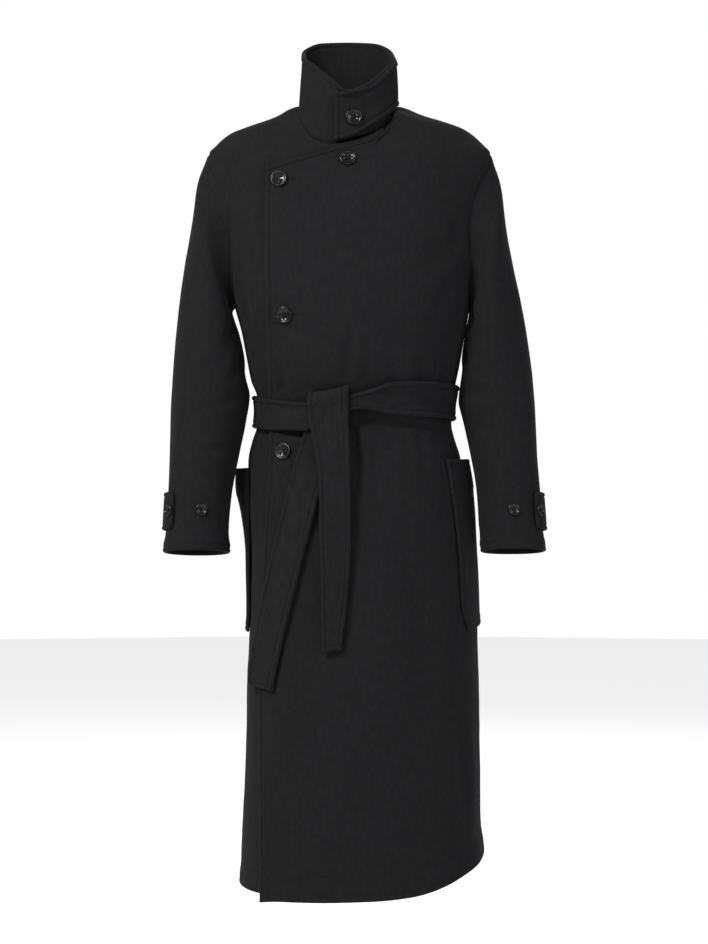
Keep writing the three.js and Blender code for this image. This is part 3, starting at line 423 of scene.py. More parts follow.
frontCreases = rowsOf(creaseColumns, [
    # marks are x and height on the front
    [[(6, -342), (2, -372), (0, -412), (4, -440)], 7, -2.2, 0.5, 0.15],
    [[(22, -352), (17, -392), (14, -440)], 9, 1.6, 0.5, 0.2],
    [[(-122, -514), (-95, -516), (-66, -520), (-46, -524)], 7, -3.2, 0.15, 0.2, 0.5],
    [[(8, -500), (40, -502), (90, -505), (140, -508)], 8, -3.6, 0.1, 0.15, 0.5],
    [[(8, -514), (14, -545), (17, -582), (14, -630)], 6, -3.4, 0.1, 0.7],
    [[(26, -512), (32, -560), (34, -640)], 11, 1.8, 0.15, 0.7],
    [[(-108, -395), (-98, -425), (-94, -452)], 7, -3.0, 0.5, 0.1],
    [[(-120, -360), (-112, -400), (-104, -440)], 8, 1.8, 0.5, 0.2],
    [[(60, -400), (70, -425), (74, -448)], 8, -1.6, 0.6, 0.1],
    [[(105, -380), (112, -415), (112, -444)], 9, -2.0, 0.6, 0.1],
    [[(136, -372), (143, -410), (140, -446)], 7, -2.4, 0.6, 0.1],
    [[(-60, -392), (-55, -425), (-58, -456)], 9, -1.5, 0.6, 0.1],
    [[(60, -512), (66, -545), (62, -580)], 7, -1.6, 0.1, 0.7],
    [[(108, -512), (116, -550), (118, -600)], 8, -2.0, 0.1, 0.7],
    [[(-75, -530), (-80, -570), (-84, -640)], 8, -1.6, 0.1, 0.7],
    [[(170, -262), (150, -300), (128, -352), (112, -392)], 13, -1.8, 0.35, 0.6],
    [[(168, -205), (140, -240), (104, -290)], 16, -1.6, 0.4, 0.6],
    [[(178, -170), (168, -215), (163, -262)], 11, -1.8, 0.4, 0.5],
    [[(-172, -262), (-158, -310), (-146, -365)], 11, -2.0, 0.4, 0.5],
    [[(-150, -205), (-143, -232), (-140, -262)], 6, -1.7, 0.4, 0.5],
    [[(30, -120), (52, -190), (58, -280)], 26, -1.5, 0.5, 0.6],
    [[(-50, -118), (-66, -200), (-62, -300)], 20, -1.2, 0.5, 0.6],
    [[(-69, -150), (-69, -190)], 4, 0.5, 0.5, 0.5],
    [[(-30, -660), (-44, -800), (-52, -980), (-58, -1150)], 30, -2.6, 0.4, 0.5],
    [[(40, -640), (62, -820), (70, -1010)], 34, 2.4, 0.4, 0.6],
    [[(96, -620), (112, -780), (124, -960), (128, -1120)], 26, -3.0, 0.4, 0.5],
    [[(-104, -900), (-108, -1010), (-112, -1120)], 20, 2.0, 0.5, 0.6],
    [[(160, -900), (176, -1040), (182, -1150)], 16, -3.2, 0.5, 0.4],
    [[(-150, -620), (-152, -760), (-158, -930)], 13, -2.2, 0.4, 0.6],
    [[(140, -60), (160, -92), (172, -130)], 15, -1.6, 0.5, 0.5],
    [[(-138, -62), (-160, -92), (-172, -132)], 15, -1.6, 0.5, 0.5],
])
backCreases = rowsOf(creaseColumns, [
    # marks are x and height on the back
    [[(-92, -70), (-60, -120), (-30, -150)], 24, -2.0, 0.5, 0.6],
    [[(95, -72), (66, -118), (34, -150)], 24, -1.8, 0.5, 0.6],
    [[(-168, -180), (-140, -250), (-120, -330)], 15, -2.6, 0.4, 0.6],
    [[(172, -185), (146, -262), (120, -345)], 15, -2.4, 0.4, 0.6],
    [[(-104, -372), (-98, -415), (-100, -446)], 9, -3.0, 0.6, 0.1],
    [[(-58, -350), (-62, -400), (-60, -446)], 11, -2.6, 0.6, 0.1],
    [[(-14, -380), (-10, -418), (-14, -448)], 9, -2.4, 0.6, 0.1],
    [[(40, -356), (36, -405), (40, -448)], 11, -2.8, 0.6, 0.1],
    [[(88, -376), (84, -420), (86, -446)], 9, -2.8, 0.6, 0.1],
    [[(-80, -506), (-88, -560), (-96, -640)], 11, -3.2, 0.1, 0.7],
    [[(-26, -506), (-30, -570), (-32, -680)], 12, -3.2, 0.1, 0.7],
    [[(24, -506), (30, -560), (34, -640)], 10, -2.6, 0.1, 0.7],
    [[(76, -506), (88, -580), (96, -690)], 12, -3.2, 0.1, 0.7],
    [[(-120, -800), (-132, -960), (-138, -1140)], 24, -3.4, 0.5, 0.4],
    [[(-40, -760), (-48, -960), (-52, -1150)], 28, -3.0, 0.5, 0.4],
    [[(50, -800), (60, -980), (66, -1140)], 28, -3.2, 0.5, 0.4],
    [[(128, -760), (146, -940), (156, -1130)], 22, -3.4, 0.5, 0.4],
])


def frontPlace(marks):
    return formPoint(turnAt(marks[:, 0], marks[:, 1]), marks[:, 1])


def backPlace(marks):
    return formPoint(2 * math.pi - turnAt(marks[:, 0], marks[:, 1]), marks[:, 1])


def shoulderLine(turn, last=False):
    heights = np.linspace(pattern["shoulder"], 5, 60)
    line = np.stack([np.full(60, turn), heights], axis=-1)
    return line[::-1] if last else line


def neckLine(table, back=False):
    x = np.linspace(table["x"][0], table["x"][-1], 500)
    if abs(table["height"][0] - 5) < 1e-6:
        # the first steep stretch is followed closely
        rest = x[np.abs(x - x[0]) > abs(table["x"][1] - x[0])]
        x = np.concatenate([np.linspace(table["x"][0], table["x"][1], 60), rest])
    height = readTable(table, "height", x, "x")
    turn = turnAt(x, height)
    return np.stack([2 * math.pi - turn if back else turn, height], axis=-1)


def makePanel(name, top, sideFirst, sideLast, levelTurns, hem, edges, creases, place, lift, seed):
    # edges: each side is a "seam", an "edge" or "hidden" under another panel;
    # top is the share of the neck line where its free edge begins
    steps = dict(seam=seamSteps, edge=edgeSteps, hidden=edgeSteps)
    columns = sharesOf(380, steps[edges["first"]], steps[edges["last"]], clothPlan["step"])
    rows = sharesOf(1200, edgeSteps if edges["top"] < 1 else seamSteps, edgeSteps, clothPlan["rowStep"])
    turns, heights = panelGrid(top, sideFirst, sideLast, levelTurns, hem, columns, rows)
    base, normal = formPoint(turns, heights), formNormal(turns, heights)
    fromFirst = runLength(base, axis=1)
    fromLast = fromFirst[:, -1:] - fromFirst
    fromTop = runLength(base, axis=0)
    fromHem = fromTop[-1:] - fromTop
    topShare = runLength(base[0])[None] / runLength(base[0])[-1]
    topIsEdge = smooth((topShare - edges["top"]) / 0.03)
    seams = bump(fromTop, 0, seamDip["width"]) * (1 - topIsEdge)
    free = [(fromHem, np.ones_like(fromHem)), (fromTop, topIsEdge * np.ones_like(fromTop))]
    for kind, distance in ((edges["first"], fromFirst), (edges["last"], fromLast)):
        if kind == "seam":
            seams = np.maximum(seams, bump(distance, 0, seamDip["width"]))
        elif kind == "edge":
            free.append((distance, np.ones_like(distance)))
    offset = np.zeros(base.shape[:2])
    nose = np.zeros(base.shape[:2])
    doubled = np.zeros(base.shape[:2])
    for distance, share in free:
        roll = hemRoll if distance is fromHem else frontRoll
        offset += share * rolledEdge(distance, roll)
        nose = np.maximum(nose, share * noseShare(distance, clothPlan["edge"]))
        doubled = np.maximum(doubled, share * (1 - smooth((distance - 10) / 26)))
    fromSides = np.minimum(fromFirst, fromLast)
    if edges["last"] == "hidden":
        # a covered edge is single cloth, and its creases run on under the panel over it
        nose = np.maximum(nose, noseShare(fromLast, clothPlan["cloth"]))
        fromSides = fromFirst
    hemFold = hemPlan["fold"] * (1 - smooth((fromHem - hemPlan["turnUp"] + 1) / 5))
    hemFold -= hemPlan["depth"] * bump(fromHem, hemPlan["turnUp"], 2.2)
    hemFold += 0.35 * bump(fromHem, hemPlan["turnUp"] + 6, 5)
    thickness = mix(clothPlan["cloth"], clothPlan["edge"], doubled)
    quiet = 1 - 0.8 * np.exp(-fromSides / 14)
    folds = creaseField(base, creases, place) * quiet * clothPlan["creaseDepth"]
    folds += waver(base, 150, seed) * 1.6 + waver(base, 46, seed + 1) * 0.4
    settle = folds + lift(turns, heights) - seamDip["depth"] * seams
    outerOut = settle + thickness * (1 - nose / 2) + offset + hemFold
    innerOut = settle + thickness * nose / 2
    outer, piece = sheetPiece(name, base, normal, outerOut, innerOut)
    if edges["last"] == "edge":
        stitchGrid(outer, normal, slice(None, -3), nearestTo(fromLast[len(rows) // 2], frontRoll["groove"]))
    if edges["top"] < 1:
        start = int(np.searchsorted(topShare[0], edges["top"] + 0.03))
        stitchGrid(outer, normal, nearestTo(fromTop[:, -40], frontRoll["groove"]), slice(start, -9))
    hemRow = nearestTo(fromHem[:, len(columns) // 2], hemPlan["turnUp"])
    stitchGrid(outer, normal, hemRow, slice(None))
    return piece


overTop = np.concatenate([shoulderLine(0.0), neckLine(neckOver)[1:]])
underTop = np.concatenate([shoulderLine(math.pi), neckLine(neckUnder)[1:]])
backTop = np.concatenate([
    shoulderLine(math.pi), neckLine(neckBack, back=True)[1:], shoulderLine(2 * math.pi, last=True)[1:],
])
hiddenTurn = pattern["hidden"]


def hiddenSide(height):
    # the under front's hidden edge leans from the neck to the underarm
    top = underTop[-1]
    share = smooth((top[1] - height) / (top[1] - pattern["underarm"]))
    return mix(top[0], hiddenTurn, share)


def underSink(turn, height):
    # what the upper front covers lies further in, so that the two layers stay clear of each other
    covered = smooth((frontEdgeTurn(height) - turn) / 0.07)
    return -clothPlan["underSink"] * covered * smooth((-40 - height) / 60)


frontOver = makePanel(
    "front_over_cloth", overTop, armholeTurn, frontEdgeTurn,
    lambda z, s: s * frontEdgeTurn(z), overHem, dict(first="seam", last="edge", top=0.47),
    frontCreases, frontPlace, lambda turn, height: wrapLiftAt(turn), 3,
)
frontUnder = makePanel(
    "front_under_cloth", underTop, lambda z: math.pi - armholeTurn(z), hiddenSide,
    lambda z, s: mix(math.pi, hiddenTurn, s), underHem, dict(first="seam", last="hidden", top=1.0),
    frontCreases, frontPlace, underSink, 3,
)
back = makePanel(
    "back_cloth", backTop,
    lambda z: math.pi + armholeTurn(z) * 1.01, lambda z: 2 * math.pi - armholeTurn(z) * 1.01,
    lambda z, s: mix(math.pi, 2 * math.pi, s), backHem, dict(first="seam", last="seam", top=1.0),
    backCreases, backPlace, lambda turn, height: 0 * turn, 9,
)
print("body panels made")


# sleeves: loops from the outer line to the inner line, leaning near the armhole
sleeveColumns = "row outer outerHeight inner innerHeight depth middle rear"
leftSleeve = tableOf(sleeveColumns, [
    [0, 246, -146, 196, -331, 80, 0, 0], [1, 252, -196, 190, -352, 84, -2, 0],
    [2, 262, -252, 184, -376, 84, -5, 0], [3, 274, -312, 180, -404, 81, -10, 0],
    [4, 285, -372, 173, -432, 77, -15, 0], [5, 292, -430, 176, -462, 73, -21, 0],
    [6, 296, -492, 187, -508, 69, -28, 0], [7, 298, -552, 197, -558, 64, -36, 2],
    [8, 302, -612, 205, -614, 58, -46, 4], [9, 305, -660, 208, -662, 54, -54, 5],
    [10, 307, -704, 214, -704, 52, -62, 6],
])
rightSleeve = tableOf(sleeveColumns, [
    [0, 243, -146, 188, -331, 80, 0, 0], [1, 250, -196, 176, -352, 84, -2, 0],
    [2, 259, -252, 170, -376, 84, -5, 0], [3, 267, -312, 164, -404, 81, -10, 0],
    [4, 273, -372, 157, -432, 77, -15, 0], [5, 277, -430, 158, -462, 73, -21, 0],
    [6, 280, -492, 165, -508, 69, -28, 0], [7, 281, -552, 175, -558, 64, -36, 2],
    [8, 282, -612, 185, -614, 58, -46, 4], [9, 284, -660, 189, -662, 54, -54, 5],
    [10, 286, -706, 190, -706, 52, -62, 6],
])
sleevePlan = dict(square=2.15, clear=5.8, overBelt=8.8, cuffEdge=5.0, hem=20, headFull=3.0, ringCount=132)
cuffRoll = dict(groove=7, depth=0.3, puff=0.5)
seamHeights = tableOf("turn height", [[math.pi * n / 10, h] for n, h in enumerate(armhole["height"])])


def sleeveSection(loops, key, at, turn, side):
    # a sleeve's sizes at a place of the table's key column, and its level section there
    sizes = {name: readTable(loops, name, at, key) for name in sleeveColumns.split()[1:]}
    power = 2 / sleevePlan["square"]
    share = (1 + signedPower(np.cos(turn), power)) / 2
    forward = signedPower(np.sin(turn), power)
    x = side * mix(sizes["inner"], sizes["outer"], share)
    return sizes, share, forward, x, sizes["middle"] - sizes["depth"] * forward


def loopPoint(loops, row, turn, side):
    sizes, share, forward, x, y = sleeveSection(loops, "row", row, turn, side)
    z = mix(sizes["innerHeight"], sizes["outerHeight"], share) + sizes["rear"] * forward
    # the sleeve stays clear of the body and the belt
    clear = sleevePlan["clear"]
    rise = np.minimum(smooth((-395 - z) / 33), smooth((z + 535) / 30)) * sleevePlan["overBelt"]
    depth = np.where(y < 0, readTable(bodyForm, "front", z), readTable(bodyForm, "back", z)) + clear + rise
    square = readTable(bodyForm, "square", z)
    inside = np.clip(1 - np.abs(y / depth) ** square, 0, 1)
    reach = (readTable(bodyForm, "half", z) + clear + rise) * inside ** (1 / square)
    edge = readTable(bodyForm, "middle", z) + side * reach
    x = np.where((inside > 0) & (side * x < side * edge), edge, x)
    return np.stack([x, y, z], axis=-1)


def armholeRing(turn, side):
    # the armhole's height and turn round the body for each turn round a sleeve
    folded = np.where(turn > math.pi, 2 * math.pi - turn, turn)
    height = readTable(seamHeights, "height", folded, "turn")
    opening = armholeTurn(height) * np.where(turn > math.pi, -1, 1)
    return folded, height, opening if side > 0 else math.pi - opening


def sleeveBase(loops, side):
    count = sleevePlan["ringCount"]
    turn = np.arange(count) * 2 * math.pi / count
    _, height, seamTurn = armholeRing(turn, side)
    seam = offForm(seamTurn, height, clothPlan["cloth"] / 2)
    along = unit(np.roll(seam, -1, axis=0) - np.roll(seam, 1, axis=0))
    leave = unit(np.cross(along, formNormal(seamTurn, height)))
    leave = np.where(leave[:, :1] * side < 0, -leave, leave)
    leave[0] = (side * 0.82, 0, -0.57)
    low = np.abs(height + 320) < 1.5
    leave[low] = (0, 0, 1)
    for _ in range(10):
        leave = unit(leave + 0.5 * (np.roll(leave, 1, axis=0) + np.roll(leave, -1, axis=0)))
    start, second = (loopPoint(loops, row, turn, side) for row in (0.0, 1.0))
    reach = np.maximum(34, np.linalg.norm(start - seam, axis=-1) * 0.9)[:, None]
    arrive = unit(second - start) * reach
    rows = []
    for s in np.linspace(0, 1, 60)[:-1]:
        a = s * s * (3 - 2 * s)
        rows.append(seam * (1 - a) + start * a + leave * reach * s * (1 - s) ** 2 - arrive * s**2 * (1 - s))
    for row in np.linspace(0, 10, 260):
        rows.append(loopPoint(loops, row, turn, side))
    dense = np.array(rows)
    shares = sharesOf(640, seamSteps, edgeSteps, 4.6)
    base = np.stack([evenOut(dense[:, c], shares) for c in range(count)], axis=1)
    fromSeam = runLength(base, axis=0)
    soften = (smooth(fromSeam / 14) * (1 - smooth((fromSeam - 90) / 90)))[..., None]
    for _ in range(60):
        around = (np.roll(base, 1, axis=1) + np.roll(base, -1, axis=1)) / 2
        beside = base.copy()
        beside[1:-1] = (base[2:] + base[:-2]) / 2
        base = base + soften * 0.5 * ((around + beside) / 2 - base)
    return base, turn


sleeveCreases = {
    # marks are turn round the sleeve (a quarter turn is its front) and row down it
    1: rowsOf(creaseColumns, [
        [[(2.6, 0.4), (2.2, 1.8), (1.7, 3.4)], 10, -2.4, 0.2, 0.6],
        [[(2.9, 1.8), (2.5, 3.2), (2.1, 4.4)], 9, -2.2, 0.3, 0.6],
        [[(1.2, 0.6), (1.0, 2.4), (1.1, 4.2)], 20, -1.8, 0.4, 0.6],
        [[(2.7, 4.6), (2.1, 5.0), (1.5, 5.2)], 9, -2.2, 0.4, 0.7],
        [[(2.5, 5.9), (1.9, 6.3), (1.3, 6.3)], 8, -1.7, 0.4, 0.7],
        [[(0.8, 4.4), (0.7, 6.0), (0.9, 7.6)], 16, 1.5, 0.5, 0.6],
        [[(3.9, 0.6), (4.4, 2.2), (4.9, 3.4)], 11, -2.6, 0.2, 0.6],
        [[(3.6, 4.6), (4.2, 5.0), (4.8, 5.0)], 9, -2.6, 0.4, 0.7],
        [[(3.8, 6.2), (4.4, 6.4), (5.0, 6.2)], 9, -2.0, 0.4, 0.7],
    ]),
    -1: rowsOf(creaseColumns, [
        [[(2.7, 0.6), (2.3, 2.0), (1.8, 3.8)], 10, -2.2, 0.2, 0.6],
        [[(2.9, 2.2), (2.4, 3.6), (2.0, 5.0)], 9, -2.0, 0.3, 0.6],
        [[(1.0, 0.8), (1.1, 2.6), (0.9, 4.6)], 20, -1.6, 0.4, 0.6],
        [[(2.6, 4.9), (2.0, 5.4), (1.3, 5.5)], 10, -2.0, 0.4, 0.7],
        [[(2.4, 6.6), (1.8, 6.9), (1.2, 6.8)], 8, -1.6, 0.4, 0.7],
        [[(0.9, 4.8), (0.8, 6.4), (0.9, 8.0)], 15, 1.4, 0.5, 0.6],
        [[(3.9, 0.8), (4.5, 2.0), (5.0, 3.0)], 11, -2.4, 0.2, 0.6],
        [[(3.7, 4.8), (4.3, 5.2), (4.9, 5.3)], 9, -2.4, 0.4, 0.7],
        [[(3.8, 6.4), (4.5, 6.7), (5.1, 6.6)], 9, -2.0, 0.4, 0.7],
    ]),
}


def makeSleeve(name, loops, side, seed):
    base, turn = sleeveBase(loops, side)
    normal = gridNormals(base, ring=True)
    middle = base.mean(axis=1, keepdims=True)
    normal *= np.sign(np.einsum("ijk,ijk->ij", normal, base - middle).mean())
    fromSeam = runLength(base, axis=0)
    folded, height, seamTurn = armholeRing(turn, side)
    atSeam = formNormal(seamTurn, height)
    normal = unit(mix(atSeam[None], normal, smooth(fromSeam / 16)[..., None]))
    fromCuff = fromSeam[-1:] - fromSeam
    place = lambda marks: loopPoint(loops, marks[:, 1], marks[:, 0], side)
    settle = creaseField(base, sleeveCreases[side], place) * smooth(fromCuff / 60) * clothPlan["creaseDepth"]
    settle += sleevePlan["headFull"] * bump(fromSeam, 42, 30) * bump(folded, 0, 0.6)
    settle += (waver(base, 120, seed) * 1.1 + waver(base, 40, seed + 1) * 0.3) * smooth(fromSeam / 20)
    settle -= seamDip["depth"] * bump(fromSeam, 0, seamDip["width"])
    settle = np.where(np.abs(normal[..., 0] * side + 0.55) < 0.45, np.minimum(settle, 1.2), settle)
    cuffHem = sleevePlan["hem"]
    fold = 0.9 * (1 - smooth((fromCuff - cuffHem + 1) / 5)) - 0.9 * bump(fromCuff, cuffHem, 2.0)
    nose = noseShare(fromCuff, sleevePlan["cuffEdge"])
    thickness = mix(clothPlan["cloth"], sleevePlan["cuffEdge"], 1 - smooth((fromCuff - 10) / 26))
    half = clothPlan["cloth"] / 2
    outerOut = settle - half + thickness * (1 - nose / 2) + fold + rolledEdge(fromCuff, cuffRoll)
    innerOut = settle - half + thickness * nose / 2
    outer, piece = sheetPiece(name, base, normal, outerOut, innerOut, ring=True)
    row = nearestTo(fromCuff[:, 0], sleevePlan["hem"])
    line = np.concatenate([outer[row], outer[row, :1]])
    addStitches(line, np.concatenate([normal[row], normal[row, :1]]))
    return piece


sleeves = {
    1: makeSleeve("sleeve_left_cloth", leftSleeve, 1, 21),
    -1: makeSleeve("sleeve_right_cloth", rightSleeve, -1, 27),
}
print("sleeves made")


# collar: one band round the neck, its left end lapped over its right end
collarPlan = dict(start=-1.2, end=2 * math.pi + 0.29, thick=6.0, lap=6.8)
collarRing = tableOf("turn footX footY foot rimX rimY rim", [
    [-1.4, 76, -20, -8, 74, -18, 76], [-1, 62, -47, -30, 58, -46, 56], [-0.5, 34, -68, -46, 30, -70, 31],
    [0, 0, -76, -56, 0, -79, 20], [0.4, -30, -76, -64, -31, -68, 43], [0.9, -61, -66, -52, -57, -46, 66],
    [1.4, -79, -34, -15, -72, -20, 80], [1.9, -74, 26, 12, -74, 26, 98], [2.5, -46, 61, 20, -46, 64, 118.5],
    [3.14, 0, 70, 24, 0, 76, 122], [3.78, 46, 61, 20, 45, 64, 118], [4.38, 74, 26, 12, 71, 26, 98],
    [4.88, 75, -20, 4, 71, -20, 75], [5.38, 60, -50, -15, 53, -50, 49], [5.78, 34, -68, -37, 30, -70, 26],
    [6.28, 0, -76, -56, 0, -80, 17], [6.7, -30, -74, -62, -30, -74, 14],
])
collarDents = rowsOf("x z wide tall sink", [
    # place across and up the front, reach, and how far the cloth is drawn in
    [2, -27, 34, 17, 5], [10, -4, 22, 12, 6.0], [40, 6, 22, 12, 1.6],
])
collarRoll = dict(groove=9.0, depth=1.3, puff=1.1, width=1.5)
collarCreases = rowsOf(creaseColumns, [
    [[(-9, -85, 4), (6, -88, 2), (26, -84, 10), (44, -74, 24)], 5.5, -2.6, 0.15, 0.7],
    [[(14, -86, -30), (34, -80, -14), (56, -62, 6)], 9, -1.6, 0.4, 0.6],
    [[(-50, -66, -30), (-46, -70, 0), (-50, -60, 30)], 13, -1.0, 0.5, 0.5],
    [[(-20, -80, -48), (-24, -80, -20), (-22, -78, 6)], 10, 0.9, 0.5, 0.5],
    [[(72, -30, -4), (74, -10, 20), (73, 4, 46)], 14, -1.4, 0.4, 0.6],
    [[(-76, -10, 0), (-76, 10, 34), (-74, 24, 60)], 14, -1.3, 0.4, 0.6],
    [[(-30, 72, 36), (-26, 74, 60), (-28, 74, 84)], 13, -1.3, 0.4, 0.5],
    [[(34, 70, 34), (30, 74, 62), (34, 72, 90)], 13, -1.3, 0.4, 0.5],
])


def collarPoint(turn, share):
    read = lambda column, at=turn: readTable(collarRing, column, at, "turn")

    def around(x, y):
        step = [read(c, turn + 0.03) - read(c, turn - 0.03) for c in (x, y)]
        return unit(np.stack([step[0], step[1], 0 * step[0]], axis=-1))

    weight = np.asarray(share)[..., None]
    along = unit(mix(around("footX", "footY"), around("rimX", "rimY"), weight))
    outward = np.stack([-along[..., 1], along[..., 0], 0 * along[..., 0]], axis=-1)
    point = np.stack([
        mix(read("footX"), read("rimX"), share),
        mix(read("footY"), read("rimY"), share),
        mix(read("foot"), read("rim"), share),
    ], axis=-1)
    return point, outward


def makeCollar():
    turnLine = np.linspace(collarPlan["start"], collarPlan["end"], 900)
    middle, _ = collarPoint(turnLine, np.full(900, 0.5))
    walked = runLength(middle)
    columns = sharesOf(walked[-1], edgeSteps, edgeSteps, 3.4) * walked[-1]
    turns = np.interp(columns, walked, turnLine)
    shares = sharesOf(86, edgeSteps, edgeSteps, 3.0)
    turn, share = np.meshgrid(turns, shares)
    base, outward = collarPoint(turn, share)
    fromFoot = runLength(base, axis=0)
    fromRim = fromFoot[-1:] - fromFoot
    fromInnerEnd = runLength(base, axis=1)
    fromLapEnd = fromInnerEnd[:, -1:] - fromInnerEnd
    lap = collarPlan["lap"] * smooth((turn - 4.2) / 0.75)
    front = base[..., 1] < 0
    sink = 0
    for dent in collarDents:
        near = bump(base[..., 0], dent["x"], dent["wide"]) * bump(base[..., 2], dent["z"], dent["tall"])
        only = smooth((turn - 4.6) / 0.7) if dent["sink"] < 5 else 1
        sink = sink + dent["sink"] * near * front * only
    marks = creaseField(base + outward * lap[..., None], collarCreases, lambda m: m)
    marks *= np.where(turn < 0.3, 0, 1)
    soft = marks + waver(base, 60, 41) * 0.5
    rimNose = np.maximum(noseShare(fromRim, 6), noseShare(fromLapEnd, 6))
    footFree = smooth((turn - 4.75) / 0.25)
    nose = np.maximum(rimNose, np.maximum(footFree * noseShare(fromFoot, 6), noseShare(fromInnerEnd, 5)))
    rimRoll = rolledEdge(fromRim, collarRoll)
    offset = rimRoll + rolledEdge(fromLapEnd, collarRoll) + footFree * rolledEdge(fromFoot, collarRoll)
    seam = -1.6 * (1 - footFree) * bump(fromFoot, 0, 3.2)
    thick = collarPlan["thick"]
    level = lap - sink + soft
    outerOut = level - thick * nose / 2 + offset + seam
    innerOut = level - thick * (1 - nose / 2) - 0.5 * rimRoll
    innerOut = np.minimum(innerOut, outerOut - 0.5)
    outer, piece = sheetPiece("collar_cloth", base, outward, outerOut, innerOut)
    groove = collarRoll["groove"]
    rimRow, lapColumn = nearestTo(fromRim[:, 60], groove), nearestTo(fromLapEnd[20], groove)
    footRow, firstFree = nearestTo(fromFoot[:, -20], groove), int(np.searchsorted(turns, 4.9))
    stitchGrid(outer, outward, rimRow, slice(8, lapColumn + 1))
    stitchGrid(outer, outward, slice(footRow, rimRow + 1), lapColumn)
    stitchGrid(outer, outward, footRow, slice(firstFree, lapColumn + 1))
    return piece


collar = makeCollar()
print("collar made")


# belt: the loop round the waist, lifted by its half knot, and the two hanging tails
beltPlan = dict(
    thick=6.5, width=56, tip=2.6, knotTurn=1.8, knotLift=8, knotFull=0.28, knotEnd=0.62, tailClear=1.5,
)
beltRing = tableOf("turn middle half", [
    [0, -469, 28], [0.9, -464, 29], [1.3, -463, 27], [1.48, -464, 19], [1.6, -469, 16], [1.8, -483, 24],
    [1.97, -494, 28.5], [2.4, -491, 28], [3.14, -483, 27.5], [4.7, -478, 28], [6.29, -469, 28],
])
tailColumns = "row x height out half tilt follow"
knotTail = tableOf(tailColumns, [
    [n] + row for n, row in enumerate([
        [-27, -492, 12.2, 24, 0.2, 1], [-27, -476, 12.2, 27, 0.24, 1], [-27, -457, 12.2, 28.5, 0.25, 1],
        [-27, -450.5, 14.5, 29, 0.25, 1], [-27, -448, 19.8, 29, 0.25, 1], [-27, -450.5, 25.2, 29, 0.25, 1],
        [-27, -457, 27.6, 29, 0.25, 0.9], [-26, -480, 27.8, 28.8, 0.2, 0.7],
        [-25, -512, 27.8, 28.4, 0.12, 0.5],
        [-21, -550, 25, 26, 0.06, 0.3], [-18, -602, 21, 24, 0.03, 0.2], [-17, -655, 19.6, 24, 0, 0.2],
        [-17, -714, 15, 22.5, 0.04, 0.2], [-19, -785, 12.6, 19.5, 0.12, 0.2],
        [-22, -853, 12.6, 14.5, 0.2, 0.2],
    ])
])
underTail = tableOf(tailColumns, [
    [n] + row for n, row in enumerate([
        [-40, -514, 12.4, 22, -0.06, 1], [-46, -542, 13, 23, -0.1, 1], [-54, -573, 13, 24, -0.14, 0.8],
        [-70, -640, 13, 25, -0.18, 0.4], [-84, -700, 13.4, 25.5, -0.18, 0.3],
        [-100, -775, 13.4, 26, -0.18, 0.3],
        [-115, -851, 13.2, 26, -0.16, 0.3], [-125, -914, 12.8, 25, -0.1, 0.3],
    ])
])
beltRoll = dict(groove=8.0, depth=1.2, puff=1.0, width=1.3)
beltCreases = rowsOf(creaseColumns, [
    [[(1.3, -0.7), (1.12, -0.5), (0.95, -0.3)], 5, -1.6, 0.2, 0.8],
    [[(1.36, 0.1), (1.15, 0.25), (0.9, 0.3)], 6, -1.3, 0.2, 0.8],
    [[(1.98, 0.4), (2.15, 0.3), (2.4, 0.25)], 6, -1.3, 0.2, 0.8],
    [[(1.98, -0.5), (2.12, -0.3), (2.3, -0.25)], 5, -1.1, 0.2, 0.8],
    [[(3.9, -0.3), (4.2, 0.1), (4.5, 0.2)], 9, -0.9, 0.5, 0.5],
    [[(5.0, 0.3), (5.3, 0.0), (5.6, -0.2)], 9, -0.9, 0.5, 0.5],
])


def beltFoot(turn):
    past = 1 - smooth((turn - frontEdgeTurn(-490.0) - 0.02) / 0.3)
    face = clothPlan["cloth"] + np.where(turn < math.pi, wrapLiftAt(turn) * past, 0)
    fromKnot, span = np.abs(turn - beltPlan["knotTurn"]), beltPlan["knotEnd"] - beltPlan["knotFull"]
    ease = smooth((beltPlan["knotEnd"] - fromKnot) / span)
    return face + 1 + beltPlan["knotLift"] * ease


def beltPlace(turn, share):
    middle, half = readTable(beltRing, "middle", turn, "turn"), readTable(beltRing, "half", turn, "turn")
    height = middle + share * half
    return formPoint(turn, height), formNormal(turn, height)


def beltLines(across):
    # the two stitched lines along the belt, a groove's distance in from each edge
    distance = (1 - across) * beltPlan["width"] / 2
    return [nearestTo(distance, at) for at in (beltRoll["groove"], beltPlan["width"] - beltRoll["groove"])]


